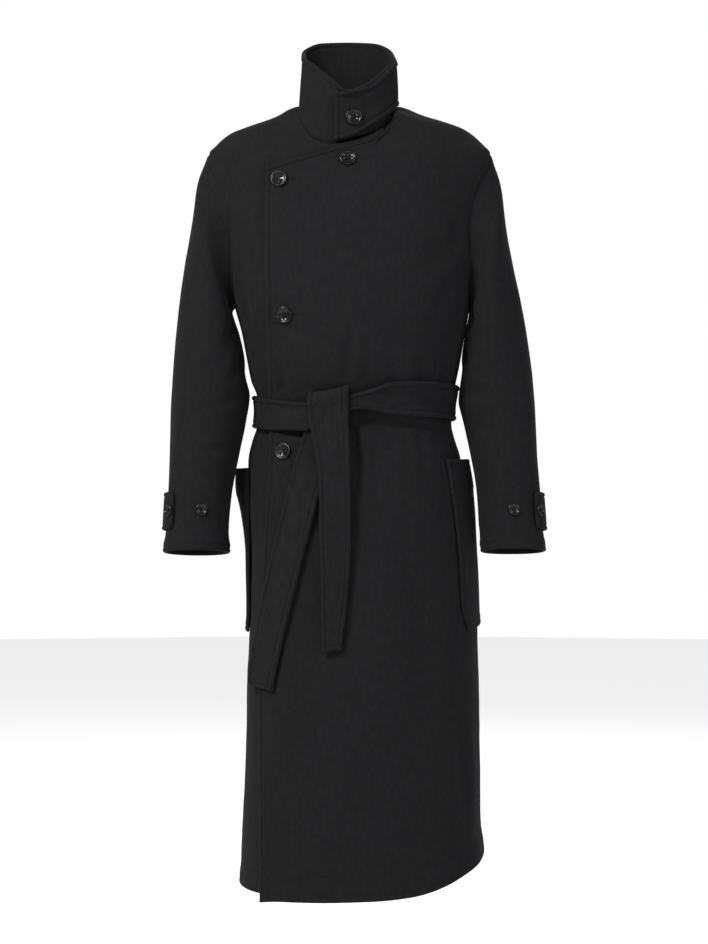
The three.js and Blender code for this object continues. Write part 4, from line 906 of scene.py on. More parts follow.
def makeBeltLoop():
    line = np.linspace(0, 2 * math.pi, 1200)
    middle, _ = beltPlace(line, 0 * line)
    walked = runLength(middle)
    turns = np.interp(np.linspace(0, walked[-1], 241)[:-1], walked, line)
    across = 1 - 2 * sharesOf(56, edgeSteps, edgeSteps, 3.4)
    turn, share = np.meshgrid(turns, across)
    base, normal = beltPlace(turn, share)
    half = readTable(beltRing, "half", turn, "turn")
    fromEdge = (1 - np.abs(share)) * half
    thick = beltPlan["thick"]
    nose = noseShare(fromEdge, thick)
    place = lambda m: beltPlace(m[:, 0], m[:, 1])[0]
    soft = creaseField(base, beltCreases, place) + waver(base, 90, 51) * 0.5
    foot = beltFoot(turn)
    roll = rolledEdge(fromEdge * 28 / np.maximum(half, 24), beltRoll)
    # the lower edge stands off the skirt in front
    lowEdge = smooth(-share * 0.9 + 0.1)
    tip = beltPlan["tip"] * lowEdge * smooth((math.pi - turn) / 0.5) * smooth((turn - 0.2) / 0.4)
    outerOut = foot + tip + thick * (1 - nose / 2) + roll + soft
    innerOut = foot + tip + thick * nose / 2 + np.minimum(soft, 0) * 0.3
    outer, piece = sheetPiece("belt_loop_cloth", base, normal, outerOut, innerOut, ring=True)
    for row in beltLines(across):
        stitchGrid(outer, normal, row, slice(None))
    return piece


def makeTail(name, table, seed, waves):
    count = len(table["row"]) - 1
    dense = np.linspace(0, count, 900)
    read = lambda column, at: readTable(table, column, at, "row")
    place = lambda x, height, out: offForm(turnAt(x, height), height, out)
    walked = runLength(place(read("x", dense), read("height", dense), read("out", dense)))
    rows = sharesOf(walked[-1], [0, 1, 2, 4], edgeSteps, 3.0) * walked[-1]
    at = np.interp(rows, walked, dense)
    middle = place(read("x", at), read("height", at), read("out", at))
    turn, height = turnAt(read("x", at), read("height", at)), read("height", at)
    way = unit(formPoint(turn - 0.02, height) - formPoint(turn + 0.02, height))
    way = way + np.stack([0 * at, 0 * at, read("tilt", at)], axis=-1)
    across = 1 - 2 * sharesOf(56, edgeSteps, edgeSteps, 3.2)
    half = read("half", at)[:, None]
    reach = across[None] * half
    straight = middle[:, None] + way[:, None] * reach[..., None]
    level = height[:, None] + reach * read("tilt", at)[:, None]
    x = read("x", at)[:, None] + reach
    following = place(x, level, np.broadcast_to(read("out", at)[:, None], x.shape))
    base = mix(straight, following, read("follow", at)[:, None, None])
    # below the knot a tail hangs clear of the front
    belowKnot = smooth((rows - 60) / 60)
    outward = formNormal(turn, height)
    base = base + (outward * (beltPlan["tailClear"] * belowKnot)[:, None])[:, None]
    normal = gridNormals(base)
    faceOut = np.einsum("ijk,ijk->ij", normal, np.broadcast_to(outward[:, None], normal.shape))
    normal *= np.sign(faceOut[-40:].mean())
    fromEnd = rows[-1] - rows[:, None] + 0 * across[None]
    fromEdge = (1 - np.abs(across[None])) * half
    thick = beltPlan["thick"]
    edgeNow = np.minimum(fromEdge * 28 / np.maximum(half, 20), fromEnd)
    nose = noseShare(edgeNow, thick)
    wave = sum(
        w["rise"] * bump(across[None], w["across"], w["wide"]) * bump(rows[:, None], w["at"], w["long"])
        for w in waves
    )
    soft = wave * smooth(fromEdge / 6) + waver(base, 80, seed) * 0.6 * belowKnot[:, None]
    roll = rolledEdge(edgeNow, beltRoll) * smooth((rows[:, None]) / 20)
    outerOut = thick / 2 - thick * nose / 2 + roll + soft
    innerOut = -thick / 2 + thick * nose / 2 - 0.4 * roll + soft
    outer, piece = sheetPiece(name, base, normal, outerOut, innerOut)
    endRow = nearestTo(fromEnd[:, 0], beltRoll["groove"])
    first, last = beltLines(across)
    for column in (first, last):
        stitchGrid(outer, normal, slice(6, endRow + 1), column)
    stitchGrid(outer, normal, endRow, slice(first, last + 1))
    return piece


beltLoop = makeBeltLoop()
waveColumns = "rise across wide at long"
knotTailPiece = makeTail("belt_knot_tail_cloth", knotTail, 61, rowsOf(waveColumns, [
    [-1.4, -0.25, 0.2, 90, 34],
    [-1.2, 0.3, 0.18, 70, 22],
    [1.0, 0.1, 0.2, 140, 50],
    [-1.0, 0.35, 0.25, 270, 70],
]))
underTailPiece = makeTail("belt_under_tail_cloth", underTail, 67, rowsOf(waveColumns, [
    [-1.2, 0.2, 0.2, 70, 40],
    [1.0, -0.3, 0.22, 170, 60],
    [-0.8, 0.1, 0.3, 300, 60],
]))
print("belt made")


# patch pockets over the side seams, standing off the coat at the mouth
pocketPlan = dict(thick=3.6, edge=4.6, mouthHem=48, lift=1.2)
mouthRoll = dict(groove=6, depth=0.2, puff=0.6, width=2)
pocketRoll = dict(groove=7.0, depth=1.0, puff=0.5, width=1.3)
backTurns = [0, 0.15, 0.35, 0.58, 0.8, 0.99, 1.18, 1.38]
pockets = {
    "pocket_left": dict(
        turns=[0.6325, 0.368, 0.1495, 0, -0.15, -0.35, -0.58, -0.8], top=-561, bottom=-827, rise=22,
        stand=tableOf("share out", [[0, 8], [0.12, 8], [0.3, 5], [0.6, 1], [1, 0]]), seed=71,
    ),
    "pocket_right": dict(
        turns=[2.87, 3.006] + [math.pi + t for t in backTurns[:7]], top=-573, bottom=-832, rise=8,
        stand=tableOf("share out", [[0, 18], [0.1, 19], [0.3, 9], [0.55, 1], [1, 0]]), seed=77,
    ),
}


def makePocket(name, plan):
    turns = np.array(plan["turns"])
    count = len(turns) - 1
    line = np.interp(np.linspace(0, count, 400), np.arange(count + 1), turns)
    length = runLength(formPoint(line, np.full(400, -690.0)))
    columns = sharesOf(length[-1], edgeSteps, edgeSteps, 4.2)
    across = np.interp(columns * length[-1], length, np.linspace(0, count, 400))
    shares = sharesOf(262, edgeSteps, edgeSteps, 4.2)
    column, share = np.meshgrid(across, shares)
    rounded = 1 - 0.1 * smooth((share - 0.86) / 0.14)
    at = count / 2 + (column - count / 2) * rounded
    turn = np.interp(at, np.arange(count + 1), turns)
    height = mix(plan["top"], plan["bottom"] + plan["rise"] * column / count, share)
    bulge = np.sin(math.pi * np.clip(column / count, 0, 1)) ** 0.7
    off = readTable(plan["stand"], "out", share, "share") * bulge
    base, normal = formPoint(turn, height), formNormal(turn, height)
    fromTop = runLength(base, axis=0)
    fromBottom = fromTop[-1:] - fromTop
    fromFirst = runLength(base, axis=1)
    fromLast = fromFirst[:, -1:] - fromFirst
    fromSide = np.minimum(np.minimum(fromFirst, fromLast), fromBottom)
    nose = np.maximum(noseShare(fromSide, pocketPlan["edge"]), noseShare(fromTop, pocketPlan["edge"]))
    doubled = np.maximum(1 - smooth((fromSide - 9) / 12), 1 - smooth((fromTop - pocketPlan["mouthHem"]) / 6))
    thick = mix(pocketPlan["thick"], pocketPlan["edge"], doubled)
    roll = rolledEdge(fromSide, pocketRoll) + rolledEdge(fromTop, mouthRoll)
    roll -= 0.9 * bump(fromTop, pocketPlan["mouthHem"], 1.8)
    foot = clothPlan["cloth"] + pocketPlan["lift"] + off
    soft = waver(base, 90, plan["seed"]) * 0.8 * smooth(fromSide / 24)
    outerOut = foot + thick * (1 - nose / 2) + roll + soft
    innerOut = foot + thick * nose / 2 + np.maximum(soft, 0)
    outer, piece = sheetPiece(name + "_cloth", base, normal, outerOut, innerOut)
    groove = pocketRoll["groove"]
    left, right = nearestTo(fromFirst[20], groove), nearestTo(fromLast[20], groove)
    low = nearestTo(fromBottom[:, len(columns) // 2], groove)
    for column in (left, right):
        stitchGrid(outer, normal, slice(None, low + 1), column)
    for row in (low, nearestTo(fromTop[:, 20], pocketPlan["mouthHem"])):
        stitchGrid(outer, normal, row, slice(left, right + 1))
    # a short dense bar of thread holds each corner of the mouth
    for k in (left, right):
        addBar(evenOut(outer[4:14, k], np.linspace(0, 1, 8)), np.repeat(normal[8:9, k], 8, axis=0))
    return piece


pocketPieces = {name: makePocket(name, plan) for name, plan in pockets.items()}
print("pockets made")


# cuff straps round the outer side of each sleeve
strapPlan = dict(top=-612, bottom=-671, start=-2.2, end=0.84, thick=5.5, lift=2.45, corner=9.0)
strapRoll = dict(groove=7, depth=1.0, puff=0.7, width=1.3)


def strapPoint(loops, side, turn, height):
    sizes, _, forward, x, y = sleeveSection(loops, "outerHeight", height, turn, side)
    return np.stack([x, y, height + sizes["rear"] * forward], axis=-1)


def strapAway(loops, side, turn, height):
    along = unit(strapPoint(loops, side, turn + 0.03, height) - strapPoint(loops, side, turn - 0.03, height))
    return np.stack([-along[..., 1], along[..., 0], 0 * along[..., 0]], axis=-1) * side


def makeStrap(name, loops, side):
    middle = (strapPlan["top"] + strapPlan["bottom"]) / 2
    line = np.linspace(strapPlan["start"], strapPlan["end"], 500)
    length = runLength(strapPoint(loops, side, line, np.full(500, middle)))
    columns = np.interp(sharesOf(length[-1], edgeSteps, edgeSteps, 3.2) * length[-1], length, line)
    heights = mix(strapPlan["top"], strapPlan["bottom"], sharesOf(59, edgeSteps, edgeSteps, 3.2))
    turn, height = np.meshgrid(columns, heights)
    base, away = strapPoint(loops, side, turn, height), strapAway(loops, side, turn, height)
    fromStart = runLength(base, axis=1)
    fromEnd = fromStart[:, -1:] - fromStart
    fromSide = np.minimum(height - strapPlan["bottom"], strapPlan["top"] - height)
    # the free end's corners are rounded
    corner = strapPlan["corner"]
    over = (fromEnd < corner) & (fromSide < corner)
    reach = np.hypot(corner - fromEnd, corner - fromSide)
    fromEdge = np.where(over, corner - reach, np.minimum(np.minimum(fromSide, fromEnd), fromStart))
    tuck = np.where(over & (reach > corner), reach - corner, 0)
    strapMiddle = strapPoint(loops, side, np.full(1, 0.5), np.full(1, middle))[0]
    base = base + unit(strapMiddle - base) * tuck[..., None]
    fromEdge = np.maximum(fromEdge, 0)
    nose = noseShare(fromEdge, strapPlan["thick"])
    roll = rolledEdge(fromEdge, strapRoll)
    outerOut = strapPlan["lift"] + strapPlan["thick"] * (1 - nose / 2) + roll
    innerOut = strapPlan["lift"] + strapPlan["thick"] * nose / 2
    outer, piece = sheetPiece(name + "_cloth", base, away, outerOut, innerOut)
    groove = strapRoll["groove"]
    high = nearestTo(strapPlan["top"] - heights, groove)
    low = nearestTo(heights - strapPlan["bottom"], groove)
    end = nearestTo(fromEnd[20], groove)
    for row in (low, high):
        stitchGrid(outer, away, row, slice(4, end + 1))
    stitchGrid(outer, away, slice(high, low + 1), end)
    return piece


straps = {
    "strap_left": makeStrap("strap_left", leftSleeve, 1),
    "strap_right": makeStrap("strap_right", rightSleeve, -1),
}
print("cuff straps made")


# finishes, made of plain shader nodes with sizes in metres
def colourOf(code):
    values = [int(code[n : n + 2], 16) / 255 for n in (1, 3, 5)]
    return tuple(v / 12.92 if v <= 0.04045 else ((v + 0.055) / 1.055) ** 2.4 for v in values) + (1.0,)


def addNode(tree, kind, values=None, **settings):
    node = tree.nodes.new(kind)
    for key, value in settings.items():
        setattr(node, key, value)
    for key, value in (values or {}).items():
        node.inputs[key].default_value = value
    return node


def newFinish(name, colour, roughness):
    finish = bpy.data.materials.new(name)
    finish.use_nodes = True
    shader = finish.node_tree.nodes["Principled BSDF"]
    shader.inputs["Base Color"].default_value = colourOf(colour)
    shader.inputs["Roughness"].default_value = roughness
    finish.diffuse_color = colourOf(colour)
    return finish, shader


def grain(size, detail=2.0):
    # a noise texture's scale for marks of a real size in millimetres
    return dict(values={"Scale": 1000.0 / size, "Detail": detail, "Roughness": 0.55})


def feltedWool(name, dark, light, fibre, height):
    # heavy coat wool, woven, milled and brushed: short fibres lie down the cloth
    finish, shader = newFinish(name, dark, 0.95)
    shader.inputs["IOR"].default_value = 1.45
    shader.inputs["Specular IOR Level"].default_value = 0.18
    shader.inputs["Sheen Weight"].default_value = 0.16
    shader.inputs["Sheen Roughness"].default_value = 0.45
    shader.inputs["Sheen Tint"].default_value = colourOf("#8e8f93")
    tree = finish.node_tree
    link = tree.links.new
    place = addNode(tree, "ShaderNodeTexCoord")
    nap = addNode(tree, "ShaderNodeMapping")
    nap.inputs["Scale"].default_value = (1.0, 1.0, 0.55)
    link(place.outputs["Object"], nap.inputs["Vector"])
    mottle = addNode(tree, "ShaderNodeTexNoise", **grain(7.0, 4.0))
    tones = addNode(tree, "ShaderNodeMix", data_type="RGBA")
    fine = addNode(tree, "ShaderNodeTexNoise", **grain(fibre, 3.0))
    lint = addNode(tree, "ShaderNodeMix", data_type="RGBA")
    for texture in (mottle, fine):
        link(nap.outputs["Vector"], texture.inputs["Vector"])
    spread = addNode(tree, "ShaderNodeMapRange", {"From Min": 0.35, "From Max": 0.65})
    link(mottle.outputs["Fac"], spread.inputs["Value"])
    link(spread.outputs["Result"], tones.inputs["Factor"])
    tones.inputs["A"].default_value = colourOf(dark)
    tones.inputs["B"].default_value = colourOf(light)
    flecks = addNode(tree, "ShaderNodeMapRange", {"From Min": 0.5, "From Max": 0.74, "To Max": 0.4})
    link(fine.outputs["Fac"], flecks.inputs["Value"])
    link(flecks.outputs["Result"], lint.inputs["Factor"])
    link(tones.outputs["Result"], lint.inputs["A"])
    lint.inputs["B"].default_value = colourOf("#2f2f32")
    link(lint.outputs["Result"], shader.inputs["Base Color"])
    coarse = addNode(tree, "ShaderNodeTexNoise", **grain(fibre * 3.4, 2.0))
    link(nap.outputs["Vector"], coarse.inputs["Vector"])
    both = addNode(tree, "ShaderNodeMath", operation="ADD")
    link(fine.outputs["Fac"], both.inputs[0])
    link(coarse.outputs["Fac"], both.inputs[1])
    bumpNode = addNode(tree, "ShaderNodeBump", {"Strength": 0.4, "Distance": height * mm})
    link(both.outputs[0], bumpNode.inputs["Height"])
    link(bumpNode.outputs["Normal"], shader.inputs["Normal"])
    return finish


woolFinish = feltedWool("felted_coat_wool", "#1f1f21", "#232325", 1.2, 0.5)
beltFinish = feltedWool("felted_belt_wool", "#1f1f21", "#242426", 1.2, 0.45)

# twisted polyester sewing thread
threadFinish, threadShader = newFinish("twisted_polyester_thread", "#1b1c1e", 0.6)
threadShader.inputs["Specular IOR Level"].default_value = 0.35

# cast polyester button, polished, black with a faint horn cloud
buttonFinish, buttonShader = newFinish("polished_cast_polyester", "#0d0d0e", 0.22)
buttonShader.inputs["IOR"].default_value = 1.54
buttonTree = buttonFinish.node_tree
buttonPlace = addNode(buttonTree, "ShaderNodeTexCoord")
cloud = addNode(buttonTree, "ShaderNodeTexNoise", **grain(9.0, 3.0))
cloudMix = addNode(buttonTree, "ShaderNodeMix", data_type="RGBA")
cloudMix.inputs["A"].default_value = colourOf("#0b0b0c")
cloudMix.inputs["B"].default_value = colourOf("#151414")
buttonTree.links.new(buttonPlace.outputs["Object"], cloud.inputs["Vector"])
buttonTree.links.new(cloud.outputs["Fac"], cloudMix.inputs["Factor"])
buttonTree.links.new(cloudMix.outputs["Result"], buttonShader.inputs["Base Color"])
print("finishes made")


# buttons: a turned disc with a raised rim, a dished middle and four holes, sewn on with crossed thread
buttonSizes = dict(front=dict(radius=13.0, thickness=4.2), cuff=dict(radius=9.5, thickness=3.6))
buttonHole = dict(radius=1.15, apart=2.5)


def circle(x, y, radius, height, count):
    angles = [2 * math.pi * n / count for n in range(count)]
    return [(x + radius * math.cos(angle), y + radius * math.sin(angle), height) for angle in angles]


def turnedDisc(name, size):
    r, t = size["radius"], size["thickness"]
    profile = [
        (0, 0), (r - 1.4, 0), (r - 0.5, 0.35), (r - 0.05, 1.2), (r, t * 0.5),
        (r - 0.1, t - 1.0), (r - 0.6, t - 0.25), (r - 1.4, t), (r - 2.3, t - 0.05),
        (r - 3.0, t - 0.5), (r - 3.6, t - 1.15), (r - 4.4, t - 1.5), (0, t - 1.75),
    ]
    sides = 56
    points, faces = [(0, 0, 0)], []
    for radius, height in profile[1:-1]:
        points += circle(0, 0, radius, height, sides)
    points.append((0, 0, profile[-1][1]))
    last = len(points) - 1
    rings = len(profile) - 2
    for n in range(sides):
        after = (n + 1) % sides
        faces.append((0, 1 + after, 1 + n))
        for ring in range(rings - 1):
            a, b = 1 + ring * sides, 1 + (ring + 1) * sides
            faces.append((a + n, a + after, b + after, b + n))
        top = 1 + (rings - 1) * sides
        faces.append((last, top + n, top + after))
    disc = makePiece(name, np.array(points, float), faces)
    drillPoints, drillFaces = [], []
    around = 12
    for x, y in ((1, 1), (1, -1), (-1, -1), (-1, 1)):
        low = len(drillPoints)
        high = low + around
        for height in (-1, t + 1):
            at = [way * buttonHole["apart"] / 2 * size["radius"] / 10 for way in (x, y)]
            drillPoints += circle(*at, buttonHole["radius"], height, around)
        drillFaces.append(tuple(low + n for n in range(around - 1, -1, -1)))
        drillFaces.append(tuple(high + n for n in range(around)))
        for n in range(around):
            after = (n + 1) % around
            drillFaces.append((low + n, low + after, high + after, high + n))
    drill = makePiece(name + "_drill", np.array(drillPoints, float), drillFaces)
    cut = disc.modifiers.new("holes", "BOOLEAN")
    cut.object, cut.operation, cut.solver = drill, "DIFFERENCE", "EXACT"
    bpy.context.view_layer.update()
    made = bpy.data.meshes.new_from_object(disc.evaluated_get(bpy.context.evaluated_depsgraph_get()))
    disc.modifiers.clear()
    bpy.data.objects.remove(disc)
    bpy.data.objects.remove(drill)
    for face in made.polygons:
        face.use_smooth = abs(face.normal.z) > 0.02 or face.area > 2e-7
    return made


def treeOf(piece):
    mesh = piece.data
    return BVHTree.FromPolygons([v.co for v in mesh.vertices], [tuple(p.vertices) for p in mesh.polygons])


threadBars = []  # straight runs of sewing thread over the buttons


def sewButton(name, kind, tree, start, towards):
    size = buttonSizes[kind]
    disc = discs[kind]
    start, towards = np.array(start, float), np.array(towards, float)
    way = unit(towards - start)
    side = unit(np.cross([0, 0, 1.0], way))
    up = np.cross(way, side)

    def meet(angle, reach):
        at = start + side * reach * math.cos(angle) + up * reach * math.sin(angle)
        point, normal, _, _ = tree.ray_cast(Vector(at * mm), Vector(way))
        return None if point is None else (np.array(point) / mm, np.array(normal))

    hits = [meet(n * math.pi / 8, size["radius"] * (1 if n % 2 else 0.55)) for n in range(16)]
    hits = [hit for hit in hits if hit]
    middle = meet(0, 0)
    normal = unit(middle[1] + sum(h[1] for h in hits))
    rise = sorted([0.0] + [float((h[0] - middle[0]) @ normal) for h in hits])
    seat = middle[0] + normal * (rise[-2] + 0.15)
    across = unit(np.cross([0, 0, 1.0], normal))
    high = np.cross(normal, across)
    turn = np.stack([across, high, normal], axis=1)
    points = np.array([v.co for v in disc.vertices]) / mm @ turn.T + seat
    piece = makePiece(name + "_horn", points, [tuple(p.vertices) for p in disc.polygons])
    for face, was in zip(piece.data.polygons, disc.polygons):
        face.use_smooth = was.use_smooth
    reach = buttonHole["apart"] / 2 * size["radius"] / 10
    level = size["thickness"] - 1.3
    for a, b in (((1, 1), (-1, -1)), ((1, -1), (-1, 1))):
        ends = [np.array([x * reach, y * reach, level]) @ turn.T + seat for x, y in (a, b)]
        threadBars.append((ends[0], ends[1], normal))
    return dict(piece=piece, seat=seat, across=across, normal=normal, node=name)


discs = {kind: turnedDisc("button_" + kind, size) for kind, size in buttonSizes.items()}
trees = {
    "front_over": treeOf(frontOver), "collar": treeOf(collar),
    "sleeve_left": treeOf(sleeves[1]), "sleeve_right": treeOf(sleeves[-1]),
    "strap_left": treeOf(straps["strap_left"]), "strap_right": treeOf(straps["strap_right"]),
}
buttons = []
holes = []  # where each buttonhole starts, the way it runs and the cloth's outward side


def addHole(tree, button, way, gap, length):
    start = button["seat"] + way * gap
    stops = []
    for share in np.linspace(0, 1, 9):
        at = start + way * length * share + button["normal"] * 30
        point, normal, _, _ = tree.ray_cast(Vector(at * mm), Vector(-button["normal"]))
        if point is not None:
            stops.append((np.array(point) / mm, np.array(normal)))
    if len(stops) > 4:
        holes.append(dict(points=np.array([s[0] for s in stops]), normals=np.array([s[1] for s in stops])))


for name, on, x, height in (
    ("button_front_1", "front_over", -107, -123), ("button_front_2", "front_over", -98, -337),
    ("button_front_3", "front_over", -100, -547), ("button_throat", "front_over", 0, -90),
    ("button_collar", "collar", 9, -23),
):
    button = sewButton(name, "front", trees[on], (x, -400, height), (x, 0, height))
    buttons.append(button)
    right = button["across"] * np.sign(button["across"][0])
    addHole(trees[on], button, right, buttonSizes["front"]["radius"] + 0.5, 9)
for hand, side, loops in (("left", 1, leftSleeve), ("right", -1, rightSleeve)):
    height = (strapPlan["top"] + strapPlan["bottom"]) / 2
    sleeveTurn = 1.52 if side > 0 else 1.72
    for number, on, turn in ((1, f"sleeve_{hand}", sleeveTurn), (2, f"strap_{hand}", 0.72)):
        spot = strapPoint(loops, side, np.array(turn), np.array(float(height)))
        away = strapAway(loops, side, np.array(turn), np.array(float(height)))
        button = sewButton(f"button_cuff_{hand}_{number}", "cuff", trees[on], spot + away * 60, spot)
        buttons.append(button)
print("buttons sewn on")


# thread: stitches, bartacks and buttonholes repeat along lines through one node tree
def numberSocket(sockets):
    return [s for s in sockets if s.type == "VALUE" and s.enabled][0]


def threadTree():
    tree = bpy.data.node_groups.new("thread_along_lines", "GeometryNodeTree")
    face = tree.interface
    face.new_socket("Geometry", in_out="INPUT", socket_type="NodeSocketGeometry")
    sockets = {}
    for label, kind, value in (
        ("Pitch", "NodeSocketFloat", 0.0042), ("Stitch Length", "NodeSocketFloat", 0.0034),
        ("Thread Radius", "NodeSocketFloat", 0.00034), ("Height", "NodeSocketFloat", 0.0006),
        ("Unevenness", "NodeSocketFloat", 0.08), ("Seed", "NodeSocketInt", 11),
        ("Finish", "NodeSocketMaterial", None),
    ):
        socket = face.new_socket(label, in_out="INPUT", socket_type=kind)
        if value is not None:
            socket.default_value = value
        sockets[label] = socket.identifier
    face.new_socket("Geometry", in_out="OUTPUT", socket_type="NodeSocketGeometry")
    add = tree.nodes.new
    link = tree.links.new
    start, end = add("NodeGroupInput"), add("NodeGroupOutput")
    toCurve, resample = add("GeometryNodeMeshToCurve"), add("GeometryNodeResampleCurve")
    resample.mode = "LENGTH"
    link(start.outputs["Geometry"], toCurve.inputs["Mesh"])
    link(toCurve.outputs["Curve"], resample.inputs["Curve"])
    link(start.outputs["Pitch"], resample.inputs["Length"])

    bow = add("GeometryNodeCurveQuadraticBezier")
    bow.inputs["Resolution"].default_value = 4
    halfBack, halfOn, low = add("ShaderNodeMath"), add("ShaderNodeMath"), add("ShaderNodeMath")
    for node, factor in ((halfBack, -0.5), (halfOn, 0.5)):
        node.operation = "MULTIPLY"
        node.inputs[1].default_value = factor
        link(start.outputs["Stitch Length"], node.inputs[0])
    low.operation = "MULTIPLY"
    low.inputs[1].default_value = -0.7
    link(start.outputs["Height"], low.inputs[0])
    for node, socket in ((halfBack, "Start"), (halfOn, "End")):
        place = add("ShaderNodeCombineXYZ")
        link(node.outputs[0], place.inputs["X"])
        link(low.outputs[0], place.inputs["Z"])
        link(place.outputs[0], bow.inputs[socket])
    crown = add("ShaderNodeCombineXYZ")
    link(start.outputs["Height"], crown.inputs["Z"])
    link(crown.outputs[0], bow.inputs["Middle"])
    ring = add("GeometryNodeCurvePrimitiveCircle")
    ring.inputs["Resolution"].default_value = 5
    link(start.outputs["Thread Radius"], ring.inputs["Radius"])
    stitch = add("GeometryNodeCurveToMesh")
    stitch.inputs["Fill Caps"].default_value = True
    link(bow.outputs["Curve"], stitch.inputs["Curve"])
    link(ring.outputs["Curve"], stitch.inputs["Profile Curve"])

    lay, lift = add("FunctionNodeAlignRotationToVector"), add("FunctionNodeAlignRotationToVector")
    lay.axis, lift.axis, lift.pivot_axis = "X", "Z", "X"
    for node, name in ((lay, "along"), (lift, "outward")):
        read = add("GeometryNodeInputNamedAttribute")
        read.data_type = "FLOAT_VECTOR"
        read.inputs["Name"].default_value = name
        link(read.outputs["Attribute"], node.inputs["Vector"])
    link(lay.outputs["Rotation"], lift.inputs["Rotation"])
    vary = add("FunctionNodeRandomValue")
    vary.data_type = "FLOAT"
    least, most = add("ShaderNodeMath"), add("ShaderNodeMath")
    least.operation, most.operation = "SUBTRACT", "ADD"
    for node, socket in ((least, "Min"), (most, "Max")):
        node.inputs[0].default_value = 1
        link(start.outputs["Unevenness"], node.inputs[1])
        link(node.outputs[0], numberSocket(s for s in vary.inputs if s.name == socket))
    link(start.outputs["Seed"], vary.inputs["Seed"])
    place = add("GeometryNodeInstanceOnPoints")
    link(resample.outputs["Curve"], place.inputs["Points"])
    link(stitch.outputs["Mesh"], place.inputs["Instance"])
    link(lift.outputs["Rotation"], place.inputs["Rotation"])
    link(numberSocket(vary.outputs), place.inputs["Scale"])
    real, finish = add("GeometryNodeRealizeInstances"), add("GeometryNodeSetMaterial")
    link(place.outputs["Instances"], real.inputs["Geometry"])
    link(real.outputs["Geometry"], finish.inputs["Geometry"])
    link(start.outputs["Finish"], finish.inputs["Material"])
    link(finish.outputs["Geometry"], end.inputs["Geometry"])
    return tree, sockets


sewingTree, sewingSockets = threadTree()


def threadPiece(name, lines, settings):
    points, edges, along, outward = [], [], [], []
    for line in lines:
        first = len(points)
        points += list(line["points"])
        outward += list(line["normals"])
        along += list(line["along"])
        edges += [(first + n, first + n + 1) for n in range(len(line["points"]) - 1)]
    mesh = bpy.data.meshes.new(name)
    mesh.from_pydata((np.array(points) * mm).tolist(), edges, [])
    for label, values in (("along", along), ("outward", outward)):
        layer = mesh.attributes.new(label, "FLOAT_VECTOR", "POINT")
        layer.data.foreach_set("vector", np.array(values, float).ravel())
    piece = bpy.data.objects.new(name, mesh)
    bpy.context.collection.objects.link(piece)
    sew = piece.modifiers.new("sewing", "NODES")
    sew.node_group = sewingTree
    for label, value in settings.items():
        sew[sewingSockets[label]] = value
    sew[sewingSockets["Finish"]] = threadFinish
    bpy.context.view_layer.update()
    made = bpy.data.meshes.new_from_object(piece.evaluated_get(bpy.context.evaluated_depsgraph_get()))
    piece.modifiers.clear()
    piece.data = made
    made.polygons.foreach_set("use_smooth", [True] * len(made.polygons))
    return piece


# seams in single stitches; bartacks and buttonholes in short stitches side by side
for hole in holes:
    along = unit(np.gradient(hole["points"], axis=0))
    for side in (-1, 1):
        beside = np.cross(hole["normals"], along)
        addBar(hole["points"] + beside * side * 1.15, hole["normals"])
crossLines = []
for a, b, normal in threadBars:
    along = unit(b - a)
    line = (a + b) / 2 + np.cross(normal, along) * np.array([[-0.42], [0], [0.42]])
    normals, alongs = (np.repeat(way[None], 3, axis=0) for way in (normal, along))
    crossLines.append(dict(points=line, normals=normals, along=alongs))
threadPieces = [
    threadPiece("seam_stitches", seamLines, {"Pitch": 0.0042, "Stitch Length": 0.0033, "Height": 0.0005}),
    threadPiece("bartacks_and_buttonholes", denseLines, {
        "Pitch": 0.00072, "Stitch Length": 0.0019, "Height": 0.0007, "Thread Radius": 0.00033,
    }),
    threadPiece("button_thread", crossLines, {
        "Pitch": 0.00042, "Stitch Length": 0.0044, "Height": 0.0016, "Thread Radius": 0.0003,
    }),
]
print("stitches made")


# camera and soft studio light, as in the photo: level, in front, a little below the coat's middle
scene = bpy.context.scene
cameraData = bpy.data.cameras.new("camera")
cameraData.sensor_fit, cameraData.sensor_height, cameraData.lens = "VERTICAL", 36, 85.8
cameraData.sensor_width = 36
camera = bpy.data.objects.new("camera", cameraData)
camera.location, camera.rotation_euler = (0.0096, -3.6, -0.579), (math.pi / 2, 0, 0)
scene.collection.objects.link(camera)
scene.camera = camera
scene.view_settings.view_transform = "Standard"

for name, place, size, power, colour in (
    ("key_light", (-2.2, -2.4, 1.9), 1.5, 96, "#fffdfa"),
    ("fill_light", (2.6, -2.6, 1.0), 2.0, 26, "#fafbff"),
    ("low_light", (0.3, -3.4, -0.5), 1.6, 3, "#ffffff"),
    ("back_light", (0.6, 3.4, 1.6), 2.6, 34, "#ffffff"),
):
    lampData = bpy.data.lights.new(name, "AREA")
    lampData.shape, lampData.size, lampData.energy = "DISK", size, power
    lampData.color = colourOf(colour)[:3]
    lamp = bpy.data.objects.new(name, lampData)
    lamp.location = place
    lamp.rotation_euler = (Vector((0, 0, -0.55)) - Vector(place)).to_track_quat("-Z", "Y").to_euler()
    lamp.visible_camera = False
    scene.collection.objects.link(lamp)

world = bpy.data.worlds.new("white_studio")
scene.world = world
world.use_nodes = True
worldTree = world.node_tree
backdrop = worldTree.nodes["Background"]
backdrop.inputs["Color"].default_value = colourOf("#ffffff")
lightPath = addNode(worldTree, "ShaderNodeLightPath")
strength = addNode(worldTree, "ShaderNodeMapRange", {"To Min": 0.22, "To Max": 1.0})
worldTree.links.new(lightPath.outputs["Is Camera Ray"], strength.inputs["Value"])
worldTree.links.new(strength.outputs["Result"], backdrop.inputs["Strength"])

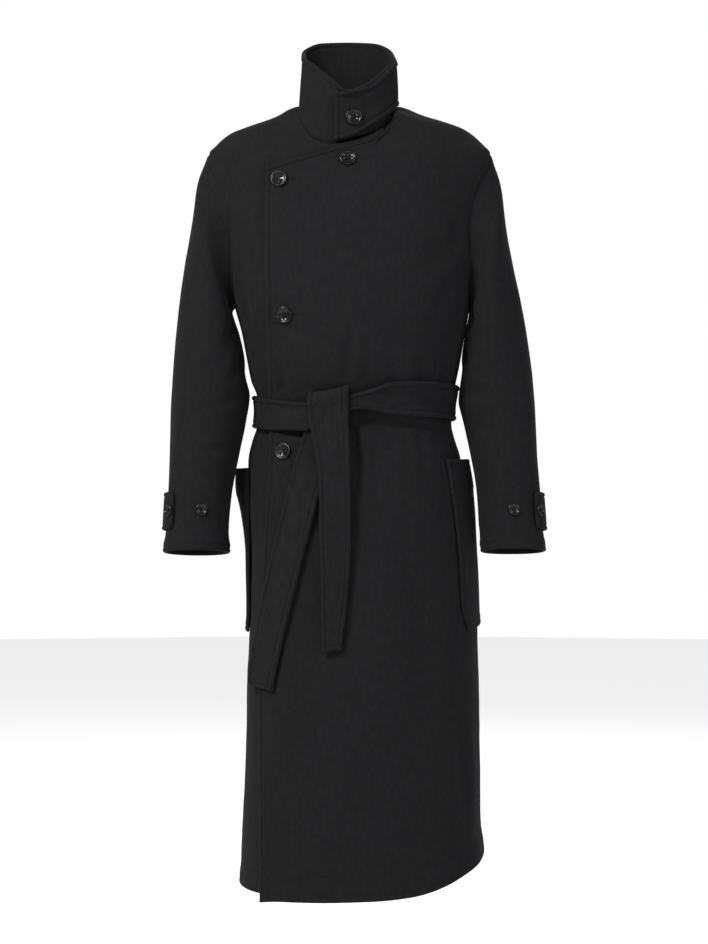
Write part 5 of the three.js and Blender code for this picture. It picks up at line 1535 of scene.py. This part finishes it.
floorMesh = bpy.data.meshes.new("pale_floor")
floorPlan = dict(radius=9, height=-1.5, sides=64)
floorRing = circle(0, 0, floorPlan["radius"], floorPlan["height"], floorPlan["sides"])
floorMesh.from_pydata(floorRing, [], [tuple(range(floorPlan["sides"]))])
floor = bpy.data.objects.new("pale_floor", floorMesh)
floorFinish, floorShader = newFinish("pale_studio_paint", "#fbfbfb", 0.9)
floorPath = addNode(floorFinish.node_tree, "ShaderNodeLightPath")
floorGlow = addNode(floorFinish.node_tree, "ShaderNodeMath", {1: 0.62}, operation="MULTIPLY")
floorFinish.node_tree.links.new(floorPath.outputs["Is Camera Ray"], floorGlow.inputs[0])
floorFinish.node_tree.links.new(floorGlow.outputs[0], floorShader.inputs["Emission Strength"])
floorShader.inputs["Emission Color"].default_value = colourOf("#ffffff")
floorMesh.materials.append(floorFinish)
scene.collection.objects.link(floor)
floor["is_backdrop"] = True
print("studio made")


# what every piece is: its CAD node, its finish and the cut of its cloth
def declare(piece, node, finish):
    piece.data.materials.clear()
    piece.data.materials.append(finish)
    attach(piece, "root")
    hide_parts(node)


cloth = [
    # piece, node, slot, flat width and length in metres, flat area, how it is held, what it rests on
    (frontOver, "front_over", "wool", (0.435, 1.235), 0.478, "hung", ("front_under", "back")),
    (frontUnder, "front_under", "wool", (0.395, 1.24), 0.44, "hung", ("front_over", "back")),
    (back, "back", "wool", (0.52, 1.26), 0.58, "hung", ("front_over", "front_under")),
    (sleeves[1], "sleeve_left", "wool", (0.47, 0.66), 0.25, "hung", ("front_over", "back")),
    (sleeves[-1], "sleeve_right", "wool", (0.47, 0.66), 0.25, "hung", ("front_under", "back")),
    (collar, "collar", "wool", (0.57, 0.095), 0.05, "hung", ("front_under", "back")),
    (beltLoop, "belt_loop", "wool_belt", (0.85, 0.056), None, "gathered", ("front_over", "back")),
    (knotTailPiece, "belt_knot_tail", "wool_belt", (0.056, 0.46), None, "hung", ("belt_loop",)),
    (underTailPiece, "belt_under_tail", "wool_belt", (0.056, 0.43), None, "hung", ("belt_loop",)),
    (pocketPieces["pocket_left"], "pocket_left", "wool", (0.21, 0.27), None, "hung", ("front_over", "back")),
    (
        pocketPieces["pocket_right"], "pocket_right", "wool", (0.21, 0.27), None, "hung",
        ("front_under", "back"),
    ),
    (straps["strap_left"], "strap_left", "wool", (0.17, 0.059), None, "stretched", ("sleeve_left",)),
    (straps["strap_right"], "strap_right", "wool", (0.17, 0.059), None, "stretched", ("sleeve_right",)),
]
for piece, node, slot, flat, area, held, under in cloth:
    declare(piece, node, woolFinish if slot == "wool" else beltFinish)
for button in buttons:
    declare(button["piece"], button["node"], buttonFinish)
for piece in threadPieces:
    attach(piece, "root")

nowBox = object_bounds()
corners = lambda box: [list(map(float, corner)) for corner in box]
{"cad": corners(cadBox), "visual": corners(nowBox)}
